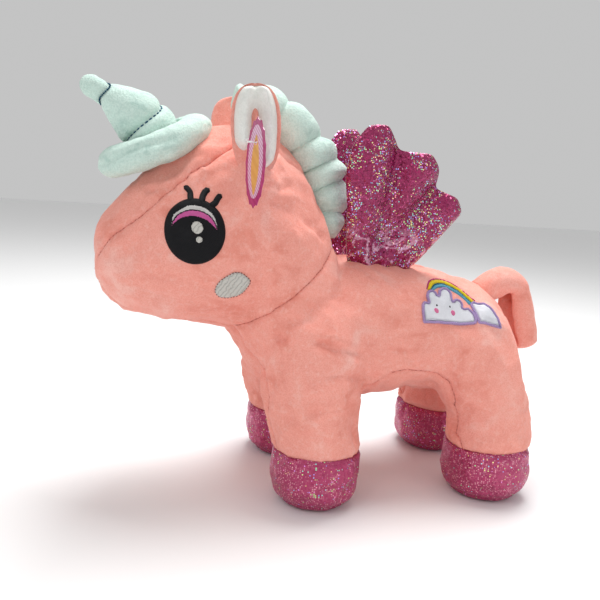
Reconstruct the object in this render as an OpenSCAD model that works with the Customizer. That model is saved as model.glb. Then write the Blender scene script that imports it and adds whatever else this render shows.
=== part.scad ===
// Plush unicorn with stuffed body, sewn hooves, horn, mane, ears, wings and tail.
// Millimetres. It faces -Y and stands on z = 0. Its left side is +X.

/* [Part to show] */
// Which piece to draw

/* [Stance] */
// Front hoof centre to rear hoof centre
leg_spacing = 115; // [80:1:160]
// Left hoof centre to right hoof centre
track = 82; // [66:1:110]
// Height of the belly
belly_height = 61; // [50:1:76]
// Height of the back
back_height = 140; // [116:1:170]
// Width of the body
body_width = 106; // [80:1:130]

/* [Hooves] */
// Hoof width at its fullest
hoof_d = 56; // [40:1:68]
// Height of the glitter sleeve
hoof_h = 34; // [24:1:44]
// Sole width
sole_d = 42; // [30:1:50]
// Sole thickness
sole_t = 2; // [1:0.5:4]

/* [Head] */
// Skull depth seen from the side
head_d = 108; // [90:1:130]
// Head width
head_w = 98; // [80:1:120]
// Muzzle depth seen from the side
muzzle_d = 74; // [58:1:88]
// Muzzle reach in front of the skull centre
muzzle_reach = 44; // [34:1:56]
// Embroidered eye width
eye_w = 32; // [20:1:40]
// Embroidered eye height
eye_h = 35; // [20:1:42]

/* [Horn] */
// Horn width at its foot
horn_d = 35; // [24:1:40]
// Horn length along its lean
horn_length = 47; // [30:1:70]
// Width of the brim ring, across the middle of its roll
brim_ring_d = 53; // [46:1:64]
// Thickness of the brim roll
brim_roll_d = 16; // [10:1:20]
// Rise of one turn of the spiral stitching
spiral_pitch = 19.4; // [12:0.2:30]

/* [Ears, mane and tail] */
// Ear height
ear_h = 46; // [30:1:60]
// Ear width
ear_w = 29; // [20:1:40]
// Half thickness of the mane frill at its fullest
mane_r = 13; // [8:1:18]
// Thickness of the tail
tail_d = 18; // [12:1:24]

/* [Wings] */
// Wing reach from front to back
wing_length = 71; // [50:1:95]
// Wing rise above the back
wing_rise = 92; // [60:1:120]
// Wing thickness
wing_t = 6; // [4:0.5:9]
// Outward lean of each wing
wing_lean = 10; // [4:1:30]

/* [Swing tag] */
// Card width
tag_w = 24; // [16:1:34]
// Card height
tag_h = 47; // [30:1:60]
// Card thickness
tag_t = 0.6; // [0.4:0.1:1.5]

/* [Cloth] */
// Thickness of the cover cloth
cover_t = 1.5; // [1:0.1:3]
// Height of embroidery above the cloth
stitch_t = 0.8; // [0.4:0.1:1.5]

/* [Hidden] */
snug = 0.2;        // between layers that are sewn together
clear = 0.8;       // between a moving piece and the body
body_fn = 18;
far = 400;

velvet = [0.95, 0.62, 0.58];
mint = [0.78, 0.9, 0.85];
glitter = [0.62, 0.15, 0.42];
fibre = [0.97, 0.97, 0.95];
white = [0.95, 0.95, 0.93];
black = [0.06, 0.06, 0.07];
pink = [0.85, 0.35, 0.6];

/* Body stations, measured from the middle of the front hooves: [centre, half sizes]. */
half_track = track / 2;
leg_r = hoof_d / 2 - 1;
mid_z = (back_height + belly_height) / 2;
mid_r = (back_height - belly_height) / 2;
half_w = body_width / 2;
chest = [[0, -4, mid_z - 8], [half_w + 1, mid_r, mid_r - 3]];
withers = [[0, 24, mid_z + 5], [half_w - 3, mid_r - 3, mid_r - 1]];
loin = [[0, leg_spacing - 50, mid_z], [half_w - 1, mid_r, mid_r]];
rump = [[0, leg_spacing - 9.5, mid_z - 5], [half_w - 3, mid_r - 8, mid_r - 4]];
skull_r = head_d / 2;
skull = [[0, -54.5, back_height + 27], [head_w / 2, skull_r, skull_r]];
jaw = [skull[0] + [0, -10, -20], [head_w / 2 - 1, skull_r - 9, skull_r - 9]];
muzzle = [skull[0] + [0, -muzzle_reach, -25], [muzzle_d / 2 + 1, muzzle_d / 2, muzzle_d / 2]];
neck = [[0, -28.5, back_height], [head_w / 2 - 1, skull_r - 13, skull_r - 13]];
front_knee = [[half_track, -5.5, hoof_h + 25], [leg_r + 1.5, leg_r + 1.5, leg_r - 3]];
front_thigh = [[half_track - 12, -3, mid_z - 7], [leg_r + 5, leg_r + 6, leg_r + 6]];
rear_knee = [[half_track, leg_spacing + 0.5, hoof_h + 20], [leg_r - 1.5, leg_r - 2.5, leg_r - 8]];
rear_thigh = [[half_track - 13, leg_spacing - 14, mid_z - 10], [leg_r + 5, leg_r + 2, leg_r + 6]];

/* Neck seam, between the head panels and the body panels. */
neck_seam_foot = [0, skull[0][1] + 6, back_height - 35];
neck_seam_rise = 40;

/* Horn and brim: local frame of the brim ring, its axis leaning forward. */
brim_lean = 24;
horn_site_angle = 41.4;
brim_r = brim_roll_d / 2;
brim_c = skull[0] + (skull_r + 6.4) * [0, -cos(horn_site_angle), sin(horn_site_angle)];
horn_foot = 3.5;   // height of the horn's foot over the middle of the brim
horn_r = horn_d / 2;
// Each station is [distance forward, height, radius] in the brim's frame.
horn_run = horn_length / 47;
thread_r = 0.6;
thread_gap = 0.8;
horn_stations = [[0, 0, horn_r - 0.2], [0.8, 4.5, horn_r + 0.5], [4.3, 11.5, horn_r - 0.4],
    [9.5, 18.5, horn_r - 3.5], [13.9, 25.9, horn_r - 6.7], [18.5, 32, horn_r - 9.7],
    [22.4, 37.2, horn_r - 11.5]];

/* Mane stations: [forward or back, height, radius factor] from the skull centre. */
mane_stations = [[2, 64, 0.7], [14, 64.5, 1], [28, 58, 0.85], [38, 50, 1.05], [48, 39, 0.85],
    [54, 29, 1], [59, 18, 0.8], [61, 8, 0.85], [60, -4, 0.6]];

/* Ear: a cupped leaf beside the crown. */
ear_c = skull[0] + [head_w / 2 - 8, 6.5, skull_r - 2];
ear_pivot = [head_w / 2 - 9, skull[0][1] + 7, skull[0][2] + 22];

/* Wing: hinge line on the back, falling to the rear. */
wing_foot = [14, 19.5, back_height + 2];
wing_points = [[0.0, 0.07], [-0.07, 0.42], [-0.13, 0.68], [-0.1, 0.87], [0.02, 1], [0.19, 1],
    [0.33, 0.85], [0.62, 0.84], [0.71, 0.76], [0.715, 0.62], [0.93, 0.56], [1.0, 0.47],
    [0.64, 0.1], [0.5, 0]];

/* Tail stations: [back, height, radius factor] from the rump centre. */
tail_r = tail_d / 2;
tail_stations = [[24, 33.5, 0.62], [36, 43, 0.86], [43, 36, 0.95], [49.5, 19, 0.95],
    [56.5, 4, 1], [57, -3, 1]];
tail_pivot = rump[0] + [0, tail_stations[0][0], tail_stations[0][1]];

/* Swing tag on a plastic filament through the front edge of the ear. */
tag_turn = 14.5;
tag_normal = [sin(tag_turn), -cos(tag_turn), 0];
tag_hole_drop = 13;   // from the card's top edge to its hole
tag_c = [61.5, skull[0][1] + 3, skull[0][2] + 43];
tag_ear_point = [head_w / 2 - 10, skull[0][1] - 2, skull[0][2] + 43];
hole_r = 1.4;
filament_r = 0.6;

/* The middle of the length is put at y = 0. */
horn_tip = horn_stations[6];
front_reach = brim_c[1] - (horn_tip[0] * horn_run) * cos(brim_lean)
    - (horn_foot + horn_tip[1] * horn_run) * sin(brim_lean) - horn_tip[2];
rear_reach = rump[0][1] + tail_stations[5][0] + tail_r;
centring = -(front_reach + rear_reach) / 2;

/* ---------- shared shapes ---------- */

module station(s, grow) {
    translate(s[0]) scale(s[1] + [grow, grow, grow]) sphere(r = 1, $fn = body_fn);
}

module joined(a, b, grow) {
    hull() { station(a, grow); station(b, grow); }
}

module leg(x, y, knee, thigh, grow) {
    at_side = x < 0 ? [-1, 1, 1] : [1, 1, 1];
    k = [[knee[0][0] * at_side[0], knee[0][1], knee[0][2]], knee[1]];
    t = [[thigh[0][0] * at_side[0], thigh[0][1], thigh[0][2]], thigh[1]];
    hull() {
        translate([x, y, hoof_h - (grow < 0 ? 3 : 0)]) cylinder(r = leg_r + grow, h = 2, $fn = body_fn);
        station(k, grow);
    }
    joined(k, t, grow);
}

// The whole velvet body, grown or shrunk by a cloth thickness.
module body(grow = 0) {
    joined(muzzle, skull, grow);
    joined(muzzle, jaw, grow);
    joined(skull, jaw, grow);
    joined(jaw, neck, grow);
    joined(skull, neck, grow);
    joined(neck, chest, grow);
    joined(chest, withers, grow);
    joined(withers, loin, grow);
    joined(chest, loin, grow);
    joined(loin, rump, grow);
    for (side = [-1, 1]) {
        leg(side * half_track, 0, front_knee, front_thigh, grow);
        leg(side * half_track, leg_spacing, rear_knee, rear_thigh, grow);
    }
}

module body_cover() {
    difference() {
        body(0);
        body(-cover_t);
    }
}

module body_fill() {
    body(-cover_t - snug);
}

// Zone of the belly gusset: under the chin, chest and belly, and the inner half of each leg.
module gusset_zone() {
    chin_y = muzzle[0][1] - muzzle_d / 2 + 10;
    linear_extrude(height = mid_z + 16)
        polygon([[-5, chin_y], [5, chin_y], [16, jaw[0][1] - 12], [21, chest[0][1] - 56], [half_track - 6, -40],
            [half_track - 3, -20], [half_track + 1, 0], [half_track + 3, 30], [half_track - 20, 34],
            [-half_track + 20, 34], [-half_track - 3, 30], [-half_track - 1, 0], [-half_track + 3, -20],
            [-half_track + 6, -40], [-21, chest[0][1] - 56], [-16, jaw[0][1] - 12]]);
    linear_extrude(height = belly_height + 18)
        polygon([[-half_track - 3, 20], [half_track + 3, 20], [half_track + 4, leg_spacing - 20],
            [half_track, leg_spacing + 14], [half_track - 18, leg_spacing + 32],
            [-half_track + 18, leg_spacing + 32], [-half_track, leg_spacing + 14],
            [-half_track - 4, leg_spacing - 20]]);
    translate([0, leg_spacing / 2 - 5, belly_height - 6]) scale([1, 26, 38])
        rotate([0, 90, 0]) cylinder(r = 1, h = far, center = true, $fn = 32);
}

// Zone of the forehead gusset: a strip from the muzzle to between the ears.
module forehead_zone() {
    top = skull[0];
    translate([0, 0, muzzle[0][2] + 6]) linear_extrude(height = far)
        polygon([[-8, top[1] - 90], [8, top[1] - 90], [17, top[1] - 68], [25, top[1] - 46], [27, top[1] - 20],
            [20, top[1] + 6], [0, top[1] + 14], [-20, top[1] + 6], [-27, top[1] - 20], [-25, top[1] - 46],
            [-17, top[1] - 68]]);
}

// The head's side of the neck seam, a plane that rises from the throat to the withers.
module above_neck_seam() {
    translate(neck_seam_foot) rotate([neck_seam_rise, 0, 0])
        translate([-far, -far, 0]) cube([2 * far, 2 * far, far]);
}

module side_panel(side) {
    difference() {
        intersection() {
            body_cover();
            translate([side > 0 ? 0 : -far, -far, 0]) cube([far, 2 * far, far]);
        }
        gusset_zone();
        forehead_zone();
    }
}

module head_panel(side) {
    intersection() { side_panel(side); above_neck_seam(); }
}

module body_panel(side) {
    difference() { side_panel(side); above_neck_seam(); }
}

module leg_zone(x, y, h) {
    translate([x, y, 0]) cylinder(r = leg_r + 4, h = h, $fn = 32);
}

module leg_zones(grow = 0) {
    for (x = [-half_track, half_track], y = [-3, leg_spacing]) leg_zone(x, y, hoof_h + 24);
}

/* ---------- hooves ---------- */

module hoof_profile(inset, foot) {
    r = hoof_d / 2 - inset;
    s = sole_d / 2 + 1.2 - inset * 0.67;
    polygon([[0, foot], [s, foot], [s + (r - s) * 0.38, sole_t + 1.6], [s + (r - s) * 0.75, hoof_h * 0.22],
        [r - 0.3, hoof_h * 0.38], [r, hoof_h * 0.54], [r - 0.4, hoof_h * 0.78], [r - 1, hoof_h], [0, hoof_h]]);
}

module hoof() {
    difference() {
        rotate_extrude($fn = 64) difference() {
            hoof_profile(0, 0.5);
            hoof_profile(1.5, -1);
            square([sole_d / 2 + snug, 2 * sole_t + 1]);
        }
    }
}

module sole() {
    cylinder(d = sole_d, h = sole_t, $fn = 64);
}

module leg_stuffing(x, y) {
    intersection() {
        body_fill();
        leg_zone(x, y < 1 ? -3 : y, hoof_h + 24);
        translate([-far / 2, -far / 2, hoof_h]) cube(far);
    }
    translate([x, y, 0]) rotate_extrude($fn = 32) intersection() {
        hoof_profile(1.5 + snug, sole_t + snug);
        square([far, hoof_h]);
    }
}

/* ---------- horn ---------- */

module horn_frame() {
    translate(brim_c) rotate([brim_lean, 0, 0]) children();
}

module horn_disc(i, inset) {
    s = horn_stations[i];
    translate([0, -s[0] * horn_run, horn_foot + s[1] * horn_run])
        if (i == len(horn_stations) - 1) sphere(r = s[2] - inset, $fn = 20);
        else cylinder(r = s[2] - inset, h = 0.01, $fn = 20);
}

module horn_solid(inset, drop = 0) {
    for (i = [0 : len(horn_stations) - 2])
        hull() { horn_disc(i, inset); horn_disc(i + 1, inset); }
    if (drop > 0) hull() {
        horn_disc(0, inset);
        translate([0, 0, -drop]) horn_disc(0, inset);
    }
}

// Radius and lean of the horn at a height, between two stations.
function horn_at(h, i = 0) = i >= len(horn_stations) - 2 || horn_stations[i + 1][1] * horn_run >= h
    ? let (a = horn_stations[i], b = horn_stations[i + 1],
           f = (h / horn_run - a[1]) / (b[1] - a[1])) a + f * (b - a)
    : horn_at(h, i + 1);

module spiral_thread() {
    first = 7 * horn_run;
    turns = 1.35 * horn_run;
    steps = 36;
    for (k = [0 : steps - 1]) hull() for (j = [k, k + 1]) {
        a = 360 * turns * j / steps;
        h = first + spiral_pitch * turns * j / steps;
        s = horn_at(h);
        reach = s[2] + thread_r + thread_gap;
        translate([reach * sin(a), -s[0] * horn_run - reach * cos(a), horn_foot + h])
            sphere(r = thread_r, $fn = 5);
    }
}

module brim_roll(inset) {
    rotate_extrude($fn = 26) translate([brim_ring_d / 2, 0]) circle(r = brim_r - inset, $fn = 10);
}

module brim(inset) {
    difference() {
        horn_frame() brim_roll(inset);
        body(snug);
    }
}

/* ---------- moving soft pieces: kept clear of the body over their travel ---------- */

module turned(pivot, about, angle) {
    translate(pivot) rotate(angle, about) translate(-pivot) children();
}

module clear_of_body(pivot, about, angles) {
    difference() {
        children();
        for (a = angles) turned(pivot, about, a) body(clear);
    }
}

module ear_leaf(inset) {
    translate(ear_c) rotate([-6, 4, 0])
        scale([6.5 - inset, ear_w / 2 - inset, ear_h / 2 - inset]) sphere(r = 1, $fn = 18);
}

module ear(inset, cloth, front) {
    clear_of_body(ear_pivot, [0, 1, 0], [-30, 0, 10])
        difference() {
            ear_leaf(inset);
            ear_leaf(inset + cloth);
            translate(ear_c + [front, -far / 2, -far / 2]) cube(far);
        }
}

module wing_outline(inset) {
    offset(delta = -inset) offset(r = 3, $fn = 20) offset(delta = -3)
        polygon([for (p = wing_points) [p[0] * wing_length, p[1] * wing_rise - 6]]);
}

module wing_layer(from, to, inset) {
    translate(wing_foot) rotate([0, wing_lean, 0]) rotate([90, 0, 90])
        translate([0, 0, from]) linear_extrude(height = to - from) wing_outline(inset);
}

module wing_face(outer) {
    half = wing_t / 2;
    clear_of_body(wing_foot, [0, 1, 0], [-50, 0, 5])
        difference() {
            if (outer) wing_layer(0.05, half, 0); else wing_layer(-half, -0.05, 0);
            if (outer) wing_layer(-1, half - 1, 1); else wing_layer(-half + 1, 1, 1);
        }
}

module wing_wadding() {
    half = wing_t / 2;
    clear_of_body(wing_foot, [0, 1, 0], [-50, 0, 5])
        wing_layer(-half + 1 + snug, half - 1 - snug, 1 + snug);
}

module tail(inset) {
    for (i = [0 : len(tail_stations) - 2]) hull() for (s = [tail_stations[i], tail_stations[i + 1]])
        translate(rump[0] + [0, s[0], s[1]])
            scale([(tail_r * s[2] + 2.5 - inset) / (tail_r * s[2] - inset), 1, 1])
                sphere(r = tail_r * s[2] - inset, $fn = 12);
}

/* ---------- embroidery, as thin layers that follow the cover ---------- */

module layer(from, to) {
    difference() {
        body(to);
        body(from);
    }
}

module side_prism() {
    rotate([90, 0, 90]) linear_extrude(height = far) children();
}

module ellipse(w, h) {
    scale([w / 2, h / 2]) circle(r = 1, $fn = 28);
}

module eye_place() {
    translate([skull[0][1] - 25, skull[0][2] - 6]) children();
}

module eye_black_shape() {
    eye_place() {
        ellipse(eye_w, eye_h);
        for (k = [[-0.05, -0.09, 0.66], [0.16, 0.2, 0.63], [0.33, 0.4, 0.55]]) hull() {
            translate([k[0] * eye_w, 0.45 * eye_h * sqrt(1 - k[0] * k[0] * 4)]) circle(r = 1.4, $fn = 8);
            translate([k[1] * eye_w, k[2] * eye_h]) circle(r = 1.1, $fn = 8);
        }
    }
}

module eye_crescent_shape(w, h, up, cut) {
    eye_place() difference() {
        translate([0, up]) ellipse(w, h);
        translate([0, up - cut]) ellipse(w + 1, h);
    }
}

module cloud_shape(w) {
    translate([0, -0.18 * w]) hull() for (k = [-0.34, 0.34]) translate([k * w, 0.16 * w]) circle(r = 0.15 * w, $fn = 14);
    translate([-0.16 * w, 0.12 * w]) circle(r = 0.15 * w, $fn = 14);
    translate([0.14 * w, 0.14 * w]) circle(r = 0.2 * w, $fn = 16);
}

// The haunch patches lie on the slope of the flank, so they are laid down along its normal.
haunch = [half_w - 10, loin[0][1] + 12, mid_z + 20];
haunch_slope = 35;

module haunch_prism() {
    translate(haunch) rotate([0, -haunch_slope, 0]) translate([-14, 0, 0])
        rotate([90, 0, 90]) linear_extrude(height = 34) children();
}

module clouds_shape() {
    cloud_shape(36);
    translate([31, -4]) rotate(-14) cloud_shape(26);
}

module rainbow_shape() {
    difference() {
        translate([13, -1]) ellipse(50, 36);
        translate([13, -1]) ellipse(38, 25);
        translate([13 - 40, -42]) square([80, 42]);
        scale(1.04) cloud_shape(36);
        translate([31, -4]) rotate(-14) scale(1.06) cloud_shape(26);
    }
}

module on_side(side) {
    if (side < 0) mirror([1, 0, 0]) children(); else children();
}

/* ---------- named pieces ---------- */

module placed() { translate([0, centring, 0]) children(); }

module left_head_panel() { color(velvet) placed() head_panel(1); }
module right_head_panel() { color(velvet) placed() head_panel(-1); }
module left_body_panel() { color(velvet) placed() body_panel(1); }
module right_body_panel() { color(velvet) placed() body_panel(-1); }
module forehead_gusset() { color(velvet) placed() intersection() { body_cover(); forehead_zone(); } }
module belly_gusset() { color(velvet) placed() intersection() { body_cover(); gusset_zone(); } }

module head_stuffing() { color(fibre) placed() intersection() { body_fill(); above_neck_seam(); } }
module body_stuffing() {
    color(fibre) placed() difference() {
        body_fill();
        above_neck_seam();
        leg_zones();
        translate([-far / 2, -far / 2, -far + hoof_h]) cube(far);
    }
}
module front_left_leg_stuffing() { color(fibre) placed() leg_stuffing(half_track, 0); }
module front_right_leg_stuffing() { color(fibre) placed() leg_stuffing(-half_track, 0); }
module rear_left_leg_stuffing() { color(fibre) placed() leg_stuffing(half_track, leg_spacing); }
module rear_right_leg_stuffing() { color(fibre) placed() leg_stuffing(-half_track, leg_spacing); }

module front_left_hoof() { color(glitter) placed() translate([half_track, 0, 0]) hoof(); }
module front_right_hoof() { color(glitter) placed() translate([-half_track, 0, 0]) hoof(); }
module rear_left_hoof() { color(glitter) placed() translate([half_track, leg_spacing, 0]) hoof(); }
module rear_right_hoof() { color(glitter) placed() translate([-half_track, leg_spacing, 0]) hoof(); }
module front_left_sole() { color(glitter) placed() translate([half_track, 0, 0]) sole(); }
module front_right_sole() { color(glitter) placed() translate([-half_track, 0, 0]) sole(); }
module rear_left_sole() { color(glitter) placed() translate([half_track, leg_spacing, 0]) sole(); }
module rear_right_sole() { color(glitter) placed() translate([-half_track, leg_spacing, 0]) sole(); }

module horn_cover() {
    color(mint) placed() horn_frame() difference() {
        horn_solid(0);
        horn_solid(1.2, 2);
    }
}
module horn_stuffing() { color(fibre) placed() horn_frame() horn_solid(1.2 + snug); }
module horn_spiral_thread() { color([0.2, 0.45, 0.55]) placed() horn_frame() spiral_thread(); }
module horn_brim_cover() {
    color(mint) placed() difference() {
        brim(0);
        horn_frame() brim_roll(1.2);
    }
}
module horn_brim_stuffing() { color(fibre) placed() brim(1.2 + snug); }

module mane() {
    color(mint) placed() difference() {
        for (i = [0 : len(mane_stations) - 2]) hull() for (s = [mane_stations[i], mane_stations[i + 1]])
            translate(skull[0] + [0, s[0], s[1]]) sphere(r = mane_r * s[2], $fn = 14);
        body(snug);
    }
}

module left_ear_outer() { color(velvet) placed() ear(0, 1.6, 0.5); }
module left_ear_lining() { color(white) placed() ear(1.6 + snug, 1.4, 1.2); }
module right_ear_outer() { color(velvet) placed() on_side(-1) ear(0, 1.6, 0.5); }
module right_ear_lining() { color(white) placed() on_side(-1) ear(1.6 + snug, 1.4, 1.2); }

module left_wing_outer_face() { color(glitter) placed() wing_face(true); }
module left_wing_inner_face() { color(glitter) placed() wing_face(false); }
module left_wing_wadding() { color(fibre) placed() wing_wadding(); }
module right_wing_outer_face() { color(glitter) placed() on_side(-1) wing_face(true); }
module right_wing_inner_face() { color(glitter) placed() on_side(-1) wing_face(false); }
module right_wing_wadding() { color(fibre) placed() on_side(-1) wing_wadding(); }

module tail_cover() {
    color(velvet) placed() difference() {
        tail(0);
        tail(1.4);
        translate(tail_pivot) rotate([143, 0, 0]) cylinder(r = tail_r * 0.62 - 2.5, h = tail_r, $fn = 12);
    }
}
module tail_stuffing() { color(fibre) placed() tail(1.4 + snug); }

module eye_black(side) { on_side(side) intersection() { layer(snug / 4, stitch_t); side_prism() eye_black_shape(); } }
module eye_pink(side) {
    on_side(side) intersection() {
        layer(stitch_t + 0.05, stitch_t + 0.5);
        side_prism() eye_crescent_shape(eye_w * 0.74, eye_h * 0.74, 0.5, 4);
    }
}
module eye_white(side) {
    on_side(side) intersection() {
        layer(stitch_t + 0.05, stitch_t + 0.5);
        side_prism() {
            difference() {
                eye_crescent_shape(eye_w * 0.8, eye_h * 0.82, 0.4, 3);
                eye_crescent_shape(eye_w * 0.74 + 0.4, eye_h * 0.74 + 0.4, 0.5, 5);
            }
            eye_place() {
                translate([0.02 * eye_w, 0.08 * eye_h]) circle(r = 3, $fn = 20);
                translate([0.03 * eye_w, -0.14 * eye_h]) circle(r = 1.8, $fn = 20);
            }
        }
    }
}
module left_eye_black() { color(black) placed() eye_black(1); }
module left_eye_pink() { color(pink) placed() eye_pink(1); }
module left_eye_white() { color(white) placed() eye_white(1); }
module right_eye_black() { color(black) placed() eye_black(-1); }
module right_eye_pink() { color(pink) placed() eye_pink(-1); }
module right_eye_white() { color(white) placed() eye_white(-1); }

module cheek_patch(side) {
    on_side(side) intersection() {
        layer(snug / 4, stitch_t);
        side_prism() translate([skull[0][1] - 3, skull[0][2] - 35]) rotate(16) ellipse(20, 16);
    }
}
module left_cheek_patch() { color([0.8, 0.78, 0.76]) placed() cheek_patch(1); }
module right_cheek_patch() { color([0.8, 0.78, 0.76]) placed() cheek_patch(-1); }

module cloud_patch(side) {
    on_side(side) intersection() { layer(snug / 4, stitch_t); haunch_prism() clouds_shape(); }
}
module rainbow_patch(side) {
    on_side(side) intersection() { layer(snug / 4, stitch_t); haunch_prism() rainbow_shape(); }
}
module left_cloud_patch() { color(white) placed() cloud_patch(1); }
module right_cloud_patch() { color(white) placed() cloud_patch(-1); }
module left_rainbow_patch() { color([0.95, 0.85, 0.2]) placed() rainbow_patch(1); }
module right_rainbow_patch() { color([0.95, 0.85, 0.2]) placed() rainbow_patch(-1); }

// The card hangs from the filament, which passes through its hole.
module tag_place() {
    translate(tag_c) rotate([0, 0, tag_turn]) rotate([90, 0, 0]) children();
}

module tag_card() {
    color([0.8, 0.2, 0.45]) placed() tag_place() difference() {
        translate([0, -tag_h / 2 + tag_hole_drop, -tag_t / 2]) scale([tag_w / tag_h, 1, 1]) cylinder(d = tag_h, h = tag_t, $fn = 40);
        cylinder(r = hole_r, h = 4, center = true, $fn = 24);
    }
}

// A bar in front of the card, a straight length through its hole, then a length across to the ear.
module tag_fastener() {
    back = tag_c - 4 * tag_normal;
    span = tag_ear_point - back;
    color(white) placed() {
        tag_place() translate([0, 0, -4 - filament_r]) cylinder(r = filament_r, h = 8 + filament_r, $fn = 32);
        tag_place() translate([0, 0, 4]) cube([7, 1.6, 1.2], center = true);
        translate(back) rotate([0, 90, atan2(span[1], span[0])])
            cylinder(r = filament_r, h = norm(span), $fn = 32);
        translate(tag_ear_point) rotate([0, 15, 0]) cube([1.4, 1.8, 7], center = true);
    }
}

left_head_panel();
right_head_panel();
left_body_panel();
right_body_panel();
forehead_gusset();
belly_gusset();
head_stuffing();
body_stuffing();
front_left_leg_stuffing();
front_right_leg_stuffing();
rear_left_leg_stuffing();
rear_right_leg_stuffing();
front_left_hoof();
front_right_hoof();
rear_left_hoof();
rear_right_hoof();
front_left_sole();
front_right_sole();
rear_left_sole();
rear_right_sole();
horn_cover();
horn_stuffing();
horn_spiral_thread();
horn_brim_cover();
horn_brim_stuffing();
mane();
left_ear_outer();
left_ear_lining();
right_ear_outer();
right_ear_lining();
left_wing_outer_face();
left_wing_inner_face();
left_wing_wadding();
right_wing_outer_face();
right_wing_inner_face();
right_wing_wadding();
tail_cover();
tail_stuffing();
left_eye_black();
left_eye_pink();
left_eye_white();
right_eye_black();
right_eye_pink();
right_eye_white();
left_cheek_patch();
right_cheek_patch();
left_cloud_patch();
left_rainbow_patch();
right_cloud_patch();
right_rainbow_patch();
tag_card();
tag_fastener();
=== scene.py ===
"""Plush unicorn: sewn velvet body, glitter hooves and wings, mint horn and mane, embroidery, swing tag."""

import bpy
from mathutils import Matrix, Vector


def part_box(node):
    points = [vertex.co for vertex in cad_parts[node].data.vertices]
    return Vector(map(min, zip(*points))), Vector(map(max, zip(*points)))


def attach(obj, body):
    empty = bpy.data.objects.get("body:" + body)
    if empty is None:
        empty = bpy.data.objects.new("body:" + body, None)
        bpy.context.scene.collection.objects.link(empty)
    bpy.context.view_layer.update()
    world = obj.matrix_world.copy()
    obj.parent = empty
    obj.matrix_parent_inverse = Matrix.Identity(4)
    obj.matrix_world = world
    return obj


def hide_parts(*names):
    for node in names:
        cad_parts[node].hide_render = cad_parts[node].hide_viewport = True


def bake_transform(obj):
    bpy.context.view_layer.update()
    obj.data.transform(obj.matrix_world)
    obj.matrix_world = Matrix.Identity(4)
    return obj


bl_info = {
    "name": "Plush Unicorn",
    "version": (1, 0, 0),
    "blender": (4, 5, 0),
    "location": "3D View > Sidebar > Unicorn",
    "description": "Sews the soft pieces of a plush unicorn round its packed frame",
    "category": "Add Mesh",
}

from math import atan2, ceil, cos, degrees, exp, pi, radians, sin, sqrt

import bmesh
import bpy
from mathutils import Matrix, Vector, kdtree, noise
from mathutils.bvhtree import BVHTree
from mathutils.geometry import delaunay_2d_cdt

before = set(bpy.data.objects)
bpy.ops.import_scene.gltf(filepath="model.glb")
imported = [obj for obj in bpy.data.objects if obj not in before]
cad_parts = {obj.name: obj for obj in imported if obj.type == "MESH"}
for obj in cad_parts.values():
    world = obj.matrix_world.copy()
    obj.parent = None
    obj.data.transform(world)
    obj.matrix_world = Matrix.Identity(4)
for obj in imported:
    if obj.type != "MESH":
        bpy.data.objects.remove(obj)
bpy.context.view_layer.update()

MM = 0.001
SIDES = {"left": 1, "right": -1}
FEET = ("front_left", "front_right", "rear_left", "rear_right")
COVER_NODES = ("left_head_panel", "right_head_panel", "left_body_panel", "right_body_panel",
               "forehead_gusset", "belly_gusset")
FILL_NODES = ("head_stuffing", "body_stuffing", *(f"{foot}_leg_stuffing" for foot in FEET))

# What the pieces share while they are made: the finished cover, to lay embroidery on, and its seam stitches.
shared = {}


# ---------- sizes and colours ----------

class UNICORN_PG_sizes(bpy.types.PropertyGroup):
    """Sizes of the sewing, all in metres"""
    cloth: bpy.props.FloatProperty(name="Cloth thickness", description="Thickness of the velvet",
                                   default=0.0013, min=0.0005, max=0.003, unit="LENGTH")
    seam_depth: bpy.props.FloatProperty(name="Seam depth", description="How far a seam pulls into the cover",
                                        default=0.0016, min=0, max=0.004, unit="LENGTH")
    pucker: bpy.props.FloatProperty(name="Seam pucker",
                                    description="Height of the small gathers beside a seam",
                                    default=0.0005, min=0, max=0.002, unit="LENGTH")
    crumple: bpy.props.FloatProperty(name="Crumple", description="Height of the soft folds in the velvet",
                                     default=0.0014, min=0, max=0.003, unit="LENGTH")
    remesh: bpy.props.FloatProperty(name="Cover mesh", description="Edge length of the cover's first mesh",
                                    default=0.0036, min=0.002, max=0.008, unit="LENGTH")
    swell: bpy.props.FloatProperty(name="Swell limit", description="How far the filling may push the cover",
                                   default=0.0035, min=0, max=0.01, unit="LENGTH")
    stitch: bpy.props.FloatProperty(name="Embroidery height", description="Height of satin stitch",
                                    default=0.0010, min=0.0003, max=0.002, unit="LENGTH")


def colour_prop(name, description, default):
    """A colour setting, as linear red, green and blue."""
    return bpy.props.FloatVectorProperty(name=name, description=description, default=default,
                                         size=3, min=0, max=1, subtype="COLOR")


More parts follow.
